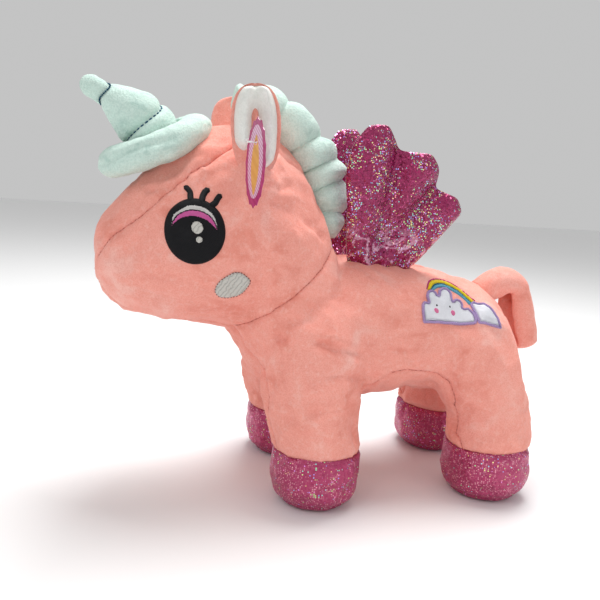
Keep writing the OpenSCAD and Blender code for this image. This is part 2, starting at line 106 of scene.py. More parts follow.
class UNICORN_PG_colours(bpy.types.PropertyGroup):
    """Colours of the cloths and threads"""
    # Pale and deep velvet colour the crushed patches and also give the painted highlights on raised tufts and
    # the painted shade in their dips.
    velvet: colour_prop("Velvet", "Body velvet where the pile stands up", (0.93, 0.40, 0.33))
    velvet_pale: colour_prop("Pale velvet", "Body velvet where the pile is crushed", (0.97, 0.58, 0.51))
    velvet_deep: colour_prop("Deep velvet", "Body velvet where the pile leans away", (0.74, 0.22, 0.16))
    mint: colour_prop("Mint plush", "Horn, brim and mane", (0.62, 0.78, 0.71))
    # Deep mint colours darker patches and also gives the painted shade between the tufts.
    mint_deep: colour_prop("Deep mint", "Mint plush between its tufts", (0.36, 0.55, 0.49))
    white: colour_prop("White plush", "Ear lining", (0.82, 0.83, 0.79))
    glitter: colour_prop("Glitter knit", "Hoof cloth", (0.42, 0.045, 0.135))
    glitter_dot: colour_prop("Glitter dots", "Foil dots of the hoof cloth", (0.85, 0.45, 0.52))
    foil: colour_prop("Wing foil", "Wing cloth", (0.29, 0.008, 0.085))
    foil_dot: colour_prop("Wing foil dots", "Foil dots of the wing cloth", (0.58, 0.10, 0.26))
    black: colour_prop("Black thread", "Eye ground and lashes", (0.008, 0.008, 0.01))
    pink: colour_prop("Pink thread", "Eye crescent", (0.72, 0.13, 0.40))
    silver: colour_prop("Silver thread", "Eye highlights and cheeks", (0.56, 0.55, 0.51))
    lilac: colour_prop("Lilac thread", "Cloud borders", (0.47, 0.34, 0.62))
    blue: colour_prop("Blue thread", "Spiral on the horn", (0.03, 0.13, 0.22))


def size(name):
    """A length from the panel's settings, in millimetres."""
    return getattr(bpy.context.scene.unicorn_sizes, name) / MM


def colour(name):
    """A colour from the panel's settings, with full alpha."""
    return (*getattr(bpy.context.scene.unicorn_colours, name), 1)


# ---------- measures and curves ----------

def box(node):
    """Lowest corner, highest corner and middle of a frame node, in millimetres."""
    low, high = (Vector(corner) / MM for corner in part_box(node))
    return low, high, (low + high) / 2


def ramp(points, x):
    """The value at x on straight lines through (x, value) points."""
    if x <= points[0][0]:
        return points[0][1]
    for (x0, v0), (x1, v1) in zip(points, points[1:]):
        if x < x1:
            return v0 + (v1 - v0) * (x - x0) / (x1 - x0)
    return points[-1][1]


def smooth(low, high, x):
    """0 below low, 1 above high, and an even turn between them."""
    t = min(1, max(0, (x - low) / (high - low)))
    return t * t * (3 - 2 * t)


def hump(x, width):
    """A bell of height 1 at x = 0."""
    return exp(-(x / width) ** 2)


def spline(points, t):
    """A point at t from 0 to 1 on a smooth curve through rows of numbers."""
    last = len(points) - 1
    i = min(int(t * last), last - 1)
    f = t * last - i
    rows = [points[max(0, min(last, k))] for k in range(i - 1, i + 3)]
    weights = (-0.5 * f + f * f - 0.5 * f ** 3, 1 - 2.5 * f * f + 1.5 * f ** 3,
               0.5 * f + 2 * f * f - 1.5 * f ** 3, -0.5 * f * f + 0.5 * f ** 3)
    return [sum(w * row[k] for w, row in zip(weights, rows)) for k in range(len(points[0]))]


def wander(point, scale, seed=0):
    """Even noise from about -1 to 1 with bumps of a size in millimetres."""
    return noise.noise(Vector(point) / scale + Vector((seed * 7.3, seed * 3.1, seed * 5.7)))


# ---------- meshes and objects ----------

def add_object(name, points, faces, materials, smooth_shade=True):
    """An object from points in millimetres."""
    mesh = bpy.data.meshes.new(name)
    mesh.from_pydata([tuple(p * MM for p in v) for v in points], [], faces)
    return add_mesh(name, mesh, materials, smooth_shade)


def add_mesh(name, mesh, materials, smooth_shade=True):
    """An object for a mesh, with its materials and smooth shading."""
    mesh.name = name
    mesh.materials.clear()
    for material in materials:
        mesh.materials.append(material)
    bm = bmesh.new()
    bm.from_mesh(mesh)
    bmesh.ops.recalc_face_normals(bm, faces=bm.faces)
    bm.to_mesh(mesh)
    bm.free()
    if smooth_shade:
        mesh.shade_smooth()
    else:
        mesh.shade_flat()
    piece = bpy.data.objects.new(name, mesh)
    bpy.context.scene.collection.objects.link(piece)
    return piece


def finished(piece):
    """The mesh of a piece with its modifiers applied."""
    graph = bpy.context.evaluated_depsgraph_get()
    graph.update()
    return bpy.data.meshes.new_from_object(piece.evaluated_get(graph))


def apply_modifiers(piece):
    """Keeps the shape that the piece's modifiers make."""
    mesh = finished(piece)
    piece.modifiers.clear()
    old = piece.data
    piece.data = mesh
    bpy.data.meshes.remove(old)
    mesh.shade_smooth()


def round_off(piece, levels=1):
    """Applies a subdivision to a piece."""
    modifier = piece.modifiers.new("Round", "SUBSURF")
    modifier.levels = modifier.render_levels = levels
    apply_modifiers(piece)


def belongs(piece, body, slot, nodes=(), fill=None):
    """Puts a piece on its body and hides the frame nodes that it stands for; the finish slot is not used."""
    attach(piece, body)
    if nodes:
        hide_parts(*nodes)


def swept(rings):
    """Points and faces of a closed tube through rings of points, its ends drawn together."""
    count = len(rings[0])
    points = [p for ring in rings for p in ring]
    faces = []
    for i in range(len(rings) - 1):
        for k in range(count):
            k1 = (k + 1) % count
            faces.append((i * count + k, i * count + k1, (i + 1) * count + k1, (i + 1) * count + k))
    for ring, turn in ((0, -1), (len(rings) - 1, 1)):
        centre = sum((Vector(p) for p in rings[ring]), Vector()) / count
        points.append(centre)
        for k in range(count):
            edge = (ring * count + k, ring * count + (k + 1) % count)
            faces.append((*edge[::turn], len(points) - 1))
    return points, faces


def grid_faces(columns, rows, closed=False):
    """Faces of a grid whose points run along its columns first."""
    span = columns if closed else columns - 1
    return [(j * columns + i, j * columns + (i + 1) % columns,
             (j + 1) * columns + (i + 1) % columns, (j + 1) * columns + i)
            for j in range(rows - 1) for i in range(span)]


# ---------- shader groups ----------

def node(tree, kind, inputs=None, **settings):
    """A shader node with its settings and with values or links for its inputs."""
    made = tree.nodes.new(kind)
    for key, value in settings.items():
        setattr(made, key, value)
    for key, value in (inputs or {}).items():
        if isinstance(value, bpy.types.NodeSocket):
            tree.links.new(value, made.inputs[key])
        else:
            made.inputs[key].default_value = value
    return made


def new_group(name, inputs, outputs):
    """An empty shader group with named sockets."""
    tree = bpy.data.node_groups.new(name, "ShaderNodeTree")
    for direction, sockets in (("INPUT", inputs), ("OUTPUT", outputs)):
        for label, kind, *value in sockets:
            socket = tree.interface.new_socket(label, in_out=direction, socket_type=f"NodeSocket{kind}")
            if value:
                socket.default_value = value[0]
    return tree, tree.nodes.new("NodeGroupInput").outputs, tree.nodes.new("NodeGroupOutput")


def maths(tree, operation, a, b=0.0, c=0.0, clamp=False):
    """The output of a Math node."""
    return node(tree, "ShaderNodeMath", {0: a, 1: b, 2: c}, operation=operation, use_clamp=clamp).outputs[0]


def blend_colour(tree, factor, a, b):
    """The colour output of a Mix node."""
    made = node(tree, "ShaderNodeMix", {0: factor, 6: a, 7: b}, data_type="RGBA")
    return made.outputs[2]


def step_value(tree, value, low, high):
    """A mask that rises from 0 at low to 1 at high."""
    made = node(tree, "ShaderNodeMapRange", {0: value, 1: low, 2: high}, interpolation_type="SMOOTHSTEP")
    return made.outputs[0]


def noise_value(tree, place, scale, detail=2.0, rough=0.5, warp=0.0):
    """The value of a Noise texture."""
    return node(tree, "ShaderNodeTexNoise", {"Vector": place, "Scale": scale, "Detail": detail,
                                             "Roughness": rough, "Distortion": warp}).outputs[0]


def pile_group():
    """Crushed pile: patches that lean light or dark, fine tufts with painted shade in their dips and painted
    highlights on their tops, and a height for the tufts.
    """
    tree, given, out = new_group("pile", [("Up", "Color"), ("Pale", "Color"), ("Deep", "Color"),
                                          ("Patch", "Float", 60.0), ("Tuft", "Float", 900.0)],
                                 [("Color", "Color"), ("Height", "Float"), ("Rough", "Float")])
    place = node(tree, "ShaderNodeTexCoord").outputs["Object"]
    wide = noise_value(tree, place, given["Patch"], 4.0, 0.55, 0.9)
    lean = node(tree, "ShaderNodeMapping", {"Vector": place, "Rotation": (0.5, 0.3, 0.4),
                                            "Scale": (1.0, 0.35, 1.3)}).outputs[0]
    streak = noise_value(tree, lean, maths(tree, "MULTIPLY", given["Patch"], 3.2), 3.0, 0.6, 0.4)
    tuft = noise_value(tree, place, given["Tuft"], 2.0, 0.65)
    grain = noise_value(tree, place, maths(tree, "MULTIPLY", given["Tuft"], 0.28), 2.0, 0.6)
    pale = maths(tree, "MULTIPLY", step_value(tree, wide, 0.50, 0.68), step_value(tree, streak, 0.30, 0.62))
    deep = maths(tree, "MULTIPLY", step_value(tree, wide, 0.50, 0.34), step_value(tree, streak, 0.62, 0.38))
    first = blend_colour(tree, maths(tree, "MULTIPLY", pale, 0.75), given["Up"], given["Pale"])
    second = blend_colour(tree, maths(tree, "MULTIPLY", deep, 0.55), first, given["Deep"])
    # Painted shade and highlight: the colour darkens where the tufts dip and lightens where the grain rises,
    # following the bump height.
    painted_dip_shade = maths(tree, "MULTIPLY", step_value(tree, tuft, 0.60, 0.38), 0.30)
    third = blend_colour(tree, painted_dip_shade, second, given["Deep"])
    shine = maths(tree, "MULTIPLY", step_value(tree, grain, 0.50, 0.72), 0.28)
    tree.links.new(blend_colour(tree, shine, third, given["Pale"]), out.inputs["Color"])
    height = maths(tree, "MULTIPLY_ADD", grain, 0.7, tuft)
    tree.links.new(height, out.inputs["Height"])
    tree.links.new(maths(tree, "MULTIPLY_ADD", wide, 0.25, 0.62), out.inputs["Rough"])
    return tree


def flake_group():
    """Foil dots in rows, some of which flash in rainbow colours and lean their own way, with painted
    highlights in streaks below a given height.
    """
    tree, given, out = new_group("flakes", [("Ground", "Color"), ("Dot", "Color"), ("Scale", "Float", 900.0),
                                            ("Order", "Float", 0.3), ("Dots", "Float", 0.5),
                                            ("Flash", "Float", 0.1), ("Lean", "Float", 0.4),
                                            ("Gloss", "Float", 0.0)],
                                 [("Color", "Color"), ("Foil", "Float"), ("Normal", "Vector")])
    place = node(tree, "ShaderNodeTexCoord").outputs["Object"]
    cell = node(tree, "ShaderNodeTexVoronoi", {"Vector": place, "Scale": given["Scale"],
                                               "Randomness": given["Order"]}, feature="F1")
    picks = node(tree, "ShaderNodeSeparateColor", {0: cell.outputs["Color"]}).outputs
    dot = step_value(tree, cell.outputs["Distance"], 0.48, 0.30)
    chosen = step_value(tree, picks[0], maths(tree, "SUBTRACT", 1.0, given["Dots"]), 1.0)
    patch = noise_value(tree, place, 70.0, 2.0, 0.5, 0.5)
    gleam = maths(tree, "MULTIPLY", step_value(tree, patch, 0.36, 0.66), given["Flash"])
    threshold = maths(tree, "SUBTRACT", 1.0, gleam)
    flash = maths(tree, "MULTIPLY", maths(tree, "GREATER_THAN", picks[1], threshold), dot)
    hue = node(tree, "ShaderNodeCombineColor", {0: picks[2], 1: 0.62, 2: 1.0}, mode="HSV").outputs[0]
    tone = noise_value(tree, place, 45.0, 3.0, 0.55, 0.8)
    lit = maths(tree, "MULTIPLY", maths(tree, "MULTIPLY", dot, chosen), step_value(tree, tone, 0.30, 0.62))
    dotted = blend_colour(tree, lit, given["Ground"], given["Dot"])
    flashed = blend_colour(tree, flash, dotted, hue)
    # Painted highlight: below the given height, noise streaks blend the colour towards pale pink, where the
    # gathered wing root would catch the light.
    height = node(tree, "ShaderNodeSeparateXYZ", {0: place}).outputs["Z"]
    low = step_value(tree, height, given["Gloss"], maths(tree, "SUBTRACT", given["Gloss"], 0.022))
    crease = step_value(tree, noise_value(tree, place, 110.0, 2.0, 0.5, 1.6), 0.50, 0.62)
    painted_highlight = maths(tree, "MULTIPLY", maths(tree, "MULTIPLY", low, crease), 0.8)
    tree.links.new(blend_colour(tree, painted_highlight, flashed, (0.80, 0.46, 0.62, 1)), out.inputs["Color"])
    tree.links.new(maths(tree, "MULTIPLY_ADD", dot, 0.5, 0.35), out.inputs["Foil"])
    shift = node(tree, "ShaderNodeVectorMath", {0: cell.outputs["Color"], 1: (0.5, 0.5, 0.5)},
                 operation="SUBTRACT").outputs[0]
    scaled = node(tree, "ShaderNodeVectorMath", {0: shift, "Scale": given["Lean"]},
                  operation="SCALE").outputs[0]
    normal = node(tree, "ShaderNodeNewGeometry").outputs["Normal"]
    leaning = node(tree, "ShaderNodeVectorMath", {0: normal, 1: scaled}, operation="ADD").outputs[0]
    tree.links.new(node(tree, "ShaderNodeVectorMath", {0: leaning}, operation="NORMALIZE").outputs[0],
                   out.inputs["Normal"])
    return tree


def thread_group():
    """Satin stitch: rows of shiny thread side by side, with painted shade in the gaps between the rows."""
    tree, given, out = new_group("threads", [("Thread", "Color"), ("Shade", "Float", 0.45),
                                             ("Along", "Vector"), ("Pitch", "Float", 2200.0)],
                                 [("Color", "Color"), ("Height", "Float")])
    place = node(tree, "ShaderNodeTexCoord").outputs["Object"]
    across = node(tree, "ShaderNodeVectorMath", {0: place, 1: given["Along"]},
                  operation="DOT_PRODUCT").outputs["Value"]
    drift = noise_value(tree, place, 400.0, 2.0)
    phase = maths(tree, "MULTIPLY_ADD", across, given["Pitch"], maths(tree, "MULTIPLY", drift, 1.6))
    wave = maths(tree, "ABSOLUTE", maths(tree, "SINE", maths(tree, "MULTIPLY", phase, pi)))
    twist = noise_value(tree, place, 1500.0, 2.0)
    # Painted shade: the colour is darkened towards black in the low gaps between the thread rows, where the
    # bump also dips.
    gap = maths(tree, "MULTIPLY", step_value(tree, wave, 0.45, 0.0), given["Shade"])
    tree.links.new(blend_colour(tree, gap, given["Thread"], (0, 0, 0, 1)), out.inputs["Color"])
    tree.links.new(maths(tree, "MULTIPLY_ADD", twist, 0.25, wave), out.inputs["Height"])
    return tree


def group_named(name, make):
    """The shader group of that name, made the first time that it is asked for."""
    return bpy.data.node_groups.get(name) or make()


def start_material(name, roughness=0.8, **sockets):
    """A material with one Principled shader, whose plain numbers are set on its sockets."""
    label = f"{name}_finish"
    found = bpy.data.materials.get(label)
    if found:
        return found, None, None
    material = bpy.data.materials.new(label)
    material.use_nodes = True
    tree = material.node_tree
    shader = tree.nodes["Principled BSDF"]
    shader.inputs["Roughness"].default_value = roughness
    for key, value in sockets.items():
        shader.inputs[key.replace("_", " ")].default_value = value
    return material, tree, shader


def place_group(tree, name, make, **inputs):
    """A shader group placed in a material."""
    placed = tree.nodes.new("ShaderNodeGroup")
    placed.node_tree = group_named(name, make)
    for key, value in inputs.items():
        placed.inputs[key].default_value = value
    return placed.outputs


def bump(tree, shader, height, strength, distance):
    """Feeds a height to the shader's normal."""
    made = node(tree, "ShaderNodeBump", {"Height": height, "Strength": strength, "Distance": distance})
    tree.links.new(made.outputs[0], shader.inputs["Normal"])


def plush_material(name, up, pale, deep, patch, tuft, relief):
    """A pile cloth."""
    material, tree, shader = start_material(name, 0.8, Sheen_Weight=0.18, Sheen_Roughness=0.35,
                                            Sheen_Tint=(1.0, 0.80, 0.74, 1), Specular_IOR_Level=0.1)
    if tree:
        pile = place_group(tree, "pile", pile_group, Up=up, Pale=pale, Deep=deep, Patch=patch, Tuft=tuft)
        tree.links.new(pile["Color"], shader.inputs["Base Color"])
        tree.links.new(pile["Rough"], shader.inputs["Roughness"])
        bump(tree, shader, pile["Height"], relief, 0.0009)
    return material


def velvet():
    """Short crushed velvet of the body."""
    return plush_material("velvet", colour("velvet"), colour("velvet_pale"), colour("velvet_deep"),
                          26.0, 1300.0, 0.5)


def mint_plush():
    """Mint plush of the horn, brim and mane."""
    pale = tuple(min(1, c * 1.14) for c in colour("mint"))
    return plush_material("mint_plush", colour("mint"), pale, colour("mint_deep"), 60.0, 950.0, 0.7)


def white_plush():
    """White plush of the ear lining."""
    deep = tuple(c * 0.86 for c in colour("white")[:3]) + (1,)
    return plush_material("white_plush", colour("white"), (0.92, 0.93, 0.9, 1), deep, 70.0, 1000.0, 0.7)


def glitter_material(name, ground, dot, scale, order, dots, flash, lean, roughness, coat, painted_highlight=0.0):
    """A glitter cloth, with painted highlights in streaks below a given height."""
    material, tree, shader = start_material(name, roughness, Coat_Weight=coat, Coat_Roughness=0.22)
    if tree:
        flakes = place_group(tree, "flakes", flake_group, Ground=ground, Dot=dot, Scale=scale, Order=order,
                             Dots=dots, Flash=flash, Lean=lean, Gloss=painted_highlight)
        tree.links.new(flakes["Color"], shader.inputs["Base Color"])
        tree.links.new(flakes["Foil"], shader.inputs["Metallic"])
        tree.links.new(flakes["Normal"], shader.inputs["Normal"])
    return material


def glitter_knit():
    """Knit with rows of foil dots, of the hooves and soles."""
    return glitter_material("glitter_knit", colour("glitter"), colour("glitter_dot"), 1000.0, 0.3, 0.8,
                            0.22, 0.6, 0.40, 0.05)


def wing_foil():
    """Foil-printed cloth of the wings, with painted highlights on their gathered roots."""
    return glitter_material("wing_foil_cloth", colour("foil"), colour("foil_dot"), 980.0, 0.85, 0.7,
                            0.75, 0.9, 0.26, 0.35, WING_PAINTED_HIGHLIGHT_TOP)


def thread(name, tone, along=(0, 0, 1), pitch=2000.0, shade=0.45, roughness=0.45):
    """Satin-stitched thread; shade sets how dark the painted shade between its rows is."""
    material, tree, shader = start_material(name, roughness, Specular_IOR_Level=0.2)
    if tree:
        rows = place_group(tree, "threads", thread_group, Thread=tone, Shade=shade, Along=along, Pitch=pitch)
        tree.links.new(rows["Color"], shader.inputs["Base Color"])
        bump(tree, shader, rows["Height"], 0.8, 0.0004)
    return material


def fibre():
    """Loose white filling fibre."""
    return plush_material("fibre", (0.85, 0.85, 0.83, 1), (0.92, 0.92, 0.9, 1), (0.7, 0.7, 0.68, 1),
                          120.0, 700.0, 1.0)


def clear_plastic():
    """Milky plastic of the tag's fastener."""
    material, tree, shader = start_material("clear_plastic", 0.3, Coat_Weight=0.4)
    if tree:
        place = node(tree, "ShaderNodeTexCoord").outputs["Object"]
        cloud = noise_value(tree, place, 500.0)
        tree.links.new(blend_colour(tree, cloud, (0.78, 0.8, 0.82, 1), (0.9, 0.92, 0.93, 1)),
                       shader.inputs["Base Color"])
        bump(tree, shader, cloud, 0.1, 0.0002)
    return material


# ---------- the sewn cover ----------

# Half width of the forehead strip, by angle round the head from the nose over the crown.
FOREHEAD_STRIP = ((-34, -20), (-24, 0), (-7, 16), (3, 23), (20, 30), (45, 32.5), (75, 35), (90, 30),
                  (130, 18), (150, 8), (165, -10))
# Half width of the belly gusset by height, on the chest and behind the rear legs.
CHEST_GUSSET = ((0, 43), (67, 43), (74, 41), (79, 33), (86, 22), (93, 19), (101, 16), (108, 12), (135, 9))
REAR_GUSSET = ((0, 43), (66, 43), (76, 34), (86, 20), (100, 8), (112, -2), (120, -20))
# Top of the belly gusset, by distance along the body between the legs.
BELLY_ARCH = ((8, 20), (12, 56), (15, 66), (19, 73), (27, 80), (36, 82.5), (47, 81.5), (60, 78.5),
              (67, 74), (71, 65), (74, 53), (76, 38), (79, 20))
GUSSET_TOP = ((-160, 134), (-140, 128), (-120, 122), (-75, 118), (-60, 112), (15, 108), (75, 104), (160, 120))
NECK_SEAM_FOOT = (-63, 105)
NECK_SEAM_RISE = 0.84
SOLE_HEIGHT = 3.6
HOOF_TOP = box("front_left_hoof")[1].z

# Soft folds that the filling leaves: points on the left side, depth and width.
FOLDS = (
    (((46, -44, 102), (58, -22, 102), (58, -4, 97), (52, 14, 91)), 1.5, 3.0),
    (((64, -17, 84), (56, 2, 82), (47, 17, 79)), 1.2, 3.0),
    (((58, -42, 56), (67, -25, 64), (58, -2, 69), (40, 16, 72)), 1.2, 3.5),
    (((53, 28, 102), (52, 36, 94), (49, 43, 86)), 1.0, 3.0),
    (((45, -53, 180), (40, -36, 173), (30, -18, 160)), 1.0, 5.0),
    (((44, -57, 188), (41, -48, 186), (34, -40, 188)), 1.2, 2.5),
    (((38, -112, 136), (44, -96, 134), (44, -84, 128)), 0.9, 4.0),
    (((31, -107, 185), (28, -110, 181), (24, -118, 181)), 1.0, 2.0),
    (((48, 88, 92), (46, 100, 84), (36, 112, 80)), 1.1, 4.0),
    (((62, -30, 92), (62, -26, 76)), 0.8, 4.0),
    (((20, -140, 132), (32, -122, 128), (36, -104, 120)), 0.8, 5.0),
)


def forehead_level(p):
    """Above 0 on the strip that runs from the nose over the forehead to the nape."""
    angle = degrees(atan2(p[2] - 150, -(p[1] + 75)))
    return ramp(FOREHEAD_STRIP, angle) - abs(p[0])


def gusset_level(p):
    """Above 0 under the chin and belly, on the chest and on the inner half of each leg."""
    rear = smooth(15, 75, p[1])
    half = ramp(CHEST_GUSSET, p[2]) * (1 - rear) + ramp(REAR_GUSSET, p[2]) * rear
    legs = min(half - abs(p[0]), ramp(GUSSET_TOP, p[1]) - p[2])
    belly = ramp(BELLY_ARCH, p[1]) - p[2]
    return max(legs, belly)


def neck_level(p):
    """Above 0 on the head's side of the neck seam."""
    return (p[2] - NECK_SEAM_FOOT[1] - NECK_SEAM_RISE * (p[1] - NECK_SEAM_FOOT[0])) * 0.77


def hoof_level(p):
    """Above 0 where the legs are glitter knit."""
    return HOOF_TOP + 0.6 * sin(p[0] / 9) - p[2]


def sole_level(p):
    """Above 0 on the soles."""
    return SOLE_HEIGHT - p[2]


def spine_level(p):
    """Above 0 on the left side."""
    return p[0]


LEVELS = (hoof_level, sole_level, forehead_level, gusset_level, neck_level, spine_level)


def cover_region(p):
    """The name of the cut piece that a point of the cover belongs to."""
    if hoof_level(p) > 0:
        foot = ("rear" if p[1] > 30 else "front") + ("_left" if p[0] > 0 else "_right")
        return foot + ("_sole" if sole_level(p) > 0 else "_hoof")
    if forehead_level(p) > 0:
        return "forehead_gusset"
    if gusset_level(p) > 0:
        return "belly_gusset"
    return ("left" if p[0] > 0 else "right") + ("_head_panel" if neck_level(p) > 0 else "_body_panel")


def joined_frame_mesh(nodes):
    """One mesh of several frame nodes."""
    bm = bmesh.new()
    for name in nodes:
        bm.from_mesh(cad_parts[name].data)
    mesh = bpy.data.meshes.new("joined")
    bm.to_mesh(mesh)
    bm.free()
    return mesh


def keep_largest(bm):
    """Deletes all but the largest connected part of a mesh."""
    left, parts = set(bm.verts), []
    while left:
        stack = [left.pop()]
        part = set(stack)
        while stack:
            for edge in stack.pop().link_edges:
                for vert in edge.verts:
                    if vert not in part:
                        part.add(vert)
                        stack.append(vert)
        left -= part
        parts.append(part)
    parts.sort(key=len, reverse=True)
    bmesh.ops.delete(bm, geom=[v for part in parts[1:] for v in part], context="VERTS")


def remeshed(mesh, cell, rounds):
    """An object with the even mesh of the outside of a shape, its facets smoothed away."""
    piece = bpy.data.objects.new("form", mesh)
    bpy.context.scene.collection.objects.link(piece)
    modifier = piece.modifiers.new("Remesh", "REMESH")
    modifier.mode = "VOXEL"
    modifier.voxel_size = cell * MM
    apply_modifiers(piece)
    bm = bmesh.new()
    bm.from_mesh(piece.data)
    keep_largest(bm)
    for _ in range(rounds):
        bmesh.ops.smooth_vert(bm, verts=bm.verts, factor=0.5,
                              use_axis_x=True, use_axis_y=True, use_axis_z=True)
    bmesh.ops.recalc_face_normals(bm, faces=bm.faces)
    bm.to_mesh(piece.data)
    bm.free()
    return piece


def inflate(piece, held, pressure, slack, limit, frames=20):
    """Blows a cloth up from inside. held gives each point's hold from 0 to 1, limit the most it may move."""
    start = [v.co.copy() for v in piece.data.vertices]
    group = piece.vertex_groups.new(name="held")
    for i, point in enumerate(start):
        weight = held(point / MM)
        if weight > 0:
            group.add([i], weight, "REPLACE")
    modifier = piece.modifiers.new("Cloth", "CLOTH")
    cloth = modifier.settings
    cloth.quality = 4
    cloth.mass = 0.2
    cloth.tension_stiffness = cloth.compression_stiffness = 12
    cloth.shear_stiffness = 4
    cloth.bending_stiffness = 0.3
    cloth.use_pressure = True
    cloth.uniform_pressure_force = pressure
    cloth.shrink_min = -slack
    cloth.vertex_group_mass = "held"
    cloth.effector_weights.gravity = 0
    modifier.collision_settings.use_collision = False
    scene = bpy.context.scene
    scene.frame_start, scene.frame_end = 1, frames
    modifier.point_cache.frame_start, modifier.point_cache.frame_end = 1, frames
    for step in range(1, frames + 1):
        scene.frame_set(step)
    swollen = finished(piece)
    for vert, first, last in zip(piece.data.vertices, start, swollen.vertices):
        move = last.co - first
        far = move.length / MM
        if far > 0:
            vert.co = first + move * (limit * (1 - exp(-far / limit)) / far)
    piece.modifiers.clear()
    piece.vertex_groups.clear()
    bpy.data.meshes.remove(swollen)
    scene.frame_set(1)


def seam_hold(p):
    """How firmly the seams and the ground hold a point of the cover while it swells."""
    near = min(abs(hoof_level(p)), abs(sole_level(p)), abs(forehead_level(p)))
    if hoof_level(p) < 0 and forehead_level(p) < 0:
        near = min(near, abs(gusset_level(p)))
        if gusset_level(p) < 0:
            near = min(near, abs(neck_level(p)))
    return 1.0 if p[2] < 2.5 else smooth(5.5, 2.0, near)


def fold_depth(p):
    """How far the soft folds and the crumple push a point of the cover in."""
    depth = 0.0
    mirrored = Vector((abs(p[0]), p[1], p[2]))
    for points, deep, wide in FOLDS:
        best = 1e9
        for a, b in zip(points, points[1:]):
            a, b = Vector(a), Vector(b)
            along = b - a
            t = min(1, max(0, (mirrored - a).dot(along) / along.length_squared))
            best = min(best, (mirrored - a - along * t).length)
        if best < 6 * wide:
            best += 1.5 * wander(p, 9, 2)
            depth += 1.35 * deep * (hump(best, 0.62 * wide) - 0.40 * hump(best - 1.9 * wide, 1.2 * wide))
    warp = Vector((wander(p, 26, 3), wander(p, 26, 4), wander(p, 26, 5))) * 10
    ridge = 1 - 2 * abs(wander(Vector((p[0], p[1] * 1.3, p[2] * 0.8)) + warp, 21, 1))
    calm = smooth(SOLE_HEIGHT, 40, p[2]) * 0.75 + 0.25
    return depth - size("crumple") * calm * (ridge - 0.5)


def push_in(mesh, depth):
    """Moves each point of a mesh inwards by depth(point)."""
    moves = [v.normal * (depth(v.co / MM) * MM) for v in mesh.vertices]
    for vert, move in zip(mesh.vertices, moves):
        vert.co -= move
    mesh.update()


def cut_along(bm, level):
    """Adds a line of edges to a mesh where level passes through 0."""
    value = {vert: level(vert.co / MM) for vert in bm.verts}
    line = set()
    for edge in list(bm.edges):
        a, b = edge.verts
        if value[a] * value[b] >= 0:
            continue
        t = value[a] / (value[a] - value[b])
        if 0.15 < t < 0.85:
            continue
        near, other = (a, b) if t <= 0.15 else (b, a)
        near.co = near.co.lerp(other.co, min(t, 1 - t))
        value[near] = 0.0
        line.add(near)
    for edge in list(bm.edges):
        a, b = edge.verts
        if value[a] * value[b] < 0:
            t = value[a] / (value[a] - value[b])
            made = bmesh.utils.edge_split(edge, a, t)[1]
            value[made] = 0.0
            line.add(made)
    for face in list(bm.faces):
        on = [vert for vert in face.verts if vert in line]
        if len(on) == 2 and not any(edge in face.edges for edge in on[0].link_edges if on[1] in edge.verts):
            bmesh.utils.face_split(face, on[0], on[1])


def draw_in_seams(bm, regions, depth, pucker):
    """Pulls the seams between regions in and gathers the cloth beside them."""
    seam = {vert for edge in bm.edges
            if len({regions[face] for face in edge.link_faces}) > 1 for vert in edge.verts}
    tree = kdtree.KDTree(len(seam))
    for i, vert in enumerate(seam):
        tree.insert(vert.co, i)
    tree.balance()
    bm.normal_update()
    moves = []
    for vert in bm.verts:
        foot, _, far = tree.find(vert.co)
        far /= MM
        if far < 16:
            point = foot / MM
            gather = wander(point, 2.6, 1) + 0.7 * wander(point, 5.5, 6)
            inward = depth * hump(far, 1.5) + pucker * gather * exp(-far / 5)
            moves.append((vert, vert.normal * (inward * MM)))
    for vert, move in moves:
        vert.co -= move


def seam_dashes(bm, regions):
    """Paths of the short stitches that lie along the seams with gaps between them."""
    paths, used = [], set()
    for edge in bm.edges:
        sides = {regions[face] for face in edge.link_faces}
        if len(sides) < 2 or used & set(edge.verts) or edge.calc_length() < 0.6 * MM:
            continue
        used.update(edge.verts)
        a, b = (vert.co / MM + vert.normal * 0.15 for vert in edge.verts)
        paths.append([a.lerp(b, k / 3) for k in range(4)])
    return paths


def sew_cover():
    """The whole swollen cover as one closed mesh, with its folds but before its pieces are cut."""
    nodes = (*COVER_NODES, *FILL_NODES, *(f"{foot}_{end}" for foot in FEET for end in ("hoof", "sole")))
    form = remeshed(joined_frame_mesh(nodes), size("remesh"), 9)
    inflate(form, seam_hold, 4.0, 0.05, size("swell"))
    round_off(form)
    push_in(form.data, fold_depth)
    for vert in form.data.vertices:
        vert.co.z = max(vert.co.z, 0.0)
    return form


def cut_pieces(form):
    """Cuts the cover along its seams into named shells of cloth."""
    bm = bmesh.new()
    bm.from_mesh(form.data)
    for level in LEVELS:
        cut_along(bm, level)
    regions = {face: cover_region(face.calc_center_median() / MM) for face in bm.faces}
    draw_in_seams(bm, regions, size("seam_depth"), size("pucker"))
    bm.normal_update()
    shared["cover"] = BVHTree.FromBMesh(bm)
    shared["seams"] = seam_dashes(bm, regions)
    bm.verts.index_update()
    points = [vert.co.copy() for vert in bm.verts]
    inside = [vert.co - vert.normal * size("cloth") * MM for vert in bm.verts]
    by_region = {}
    for face, region in regions.items():
        by_region.setdefault(region, []).append([vert.index for vert in face.verts])
    bm.free()
    return {region: shell(points, inside, faces) for region, faces in by_region.items()}


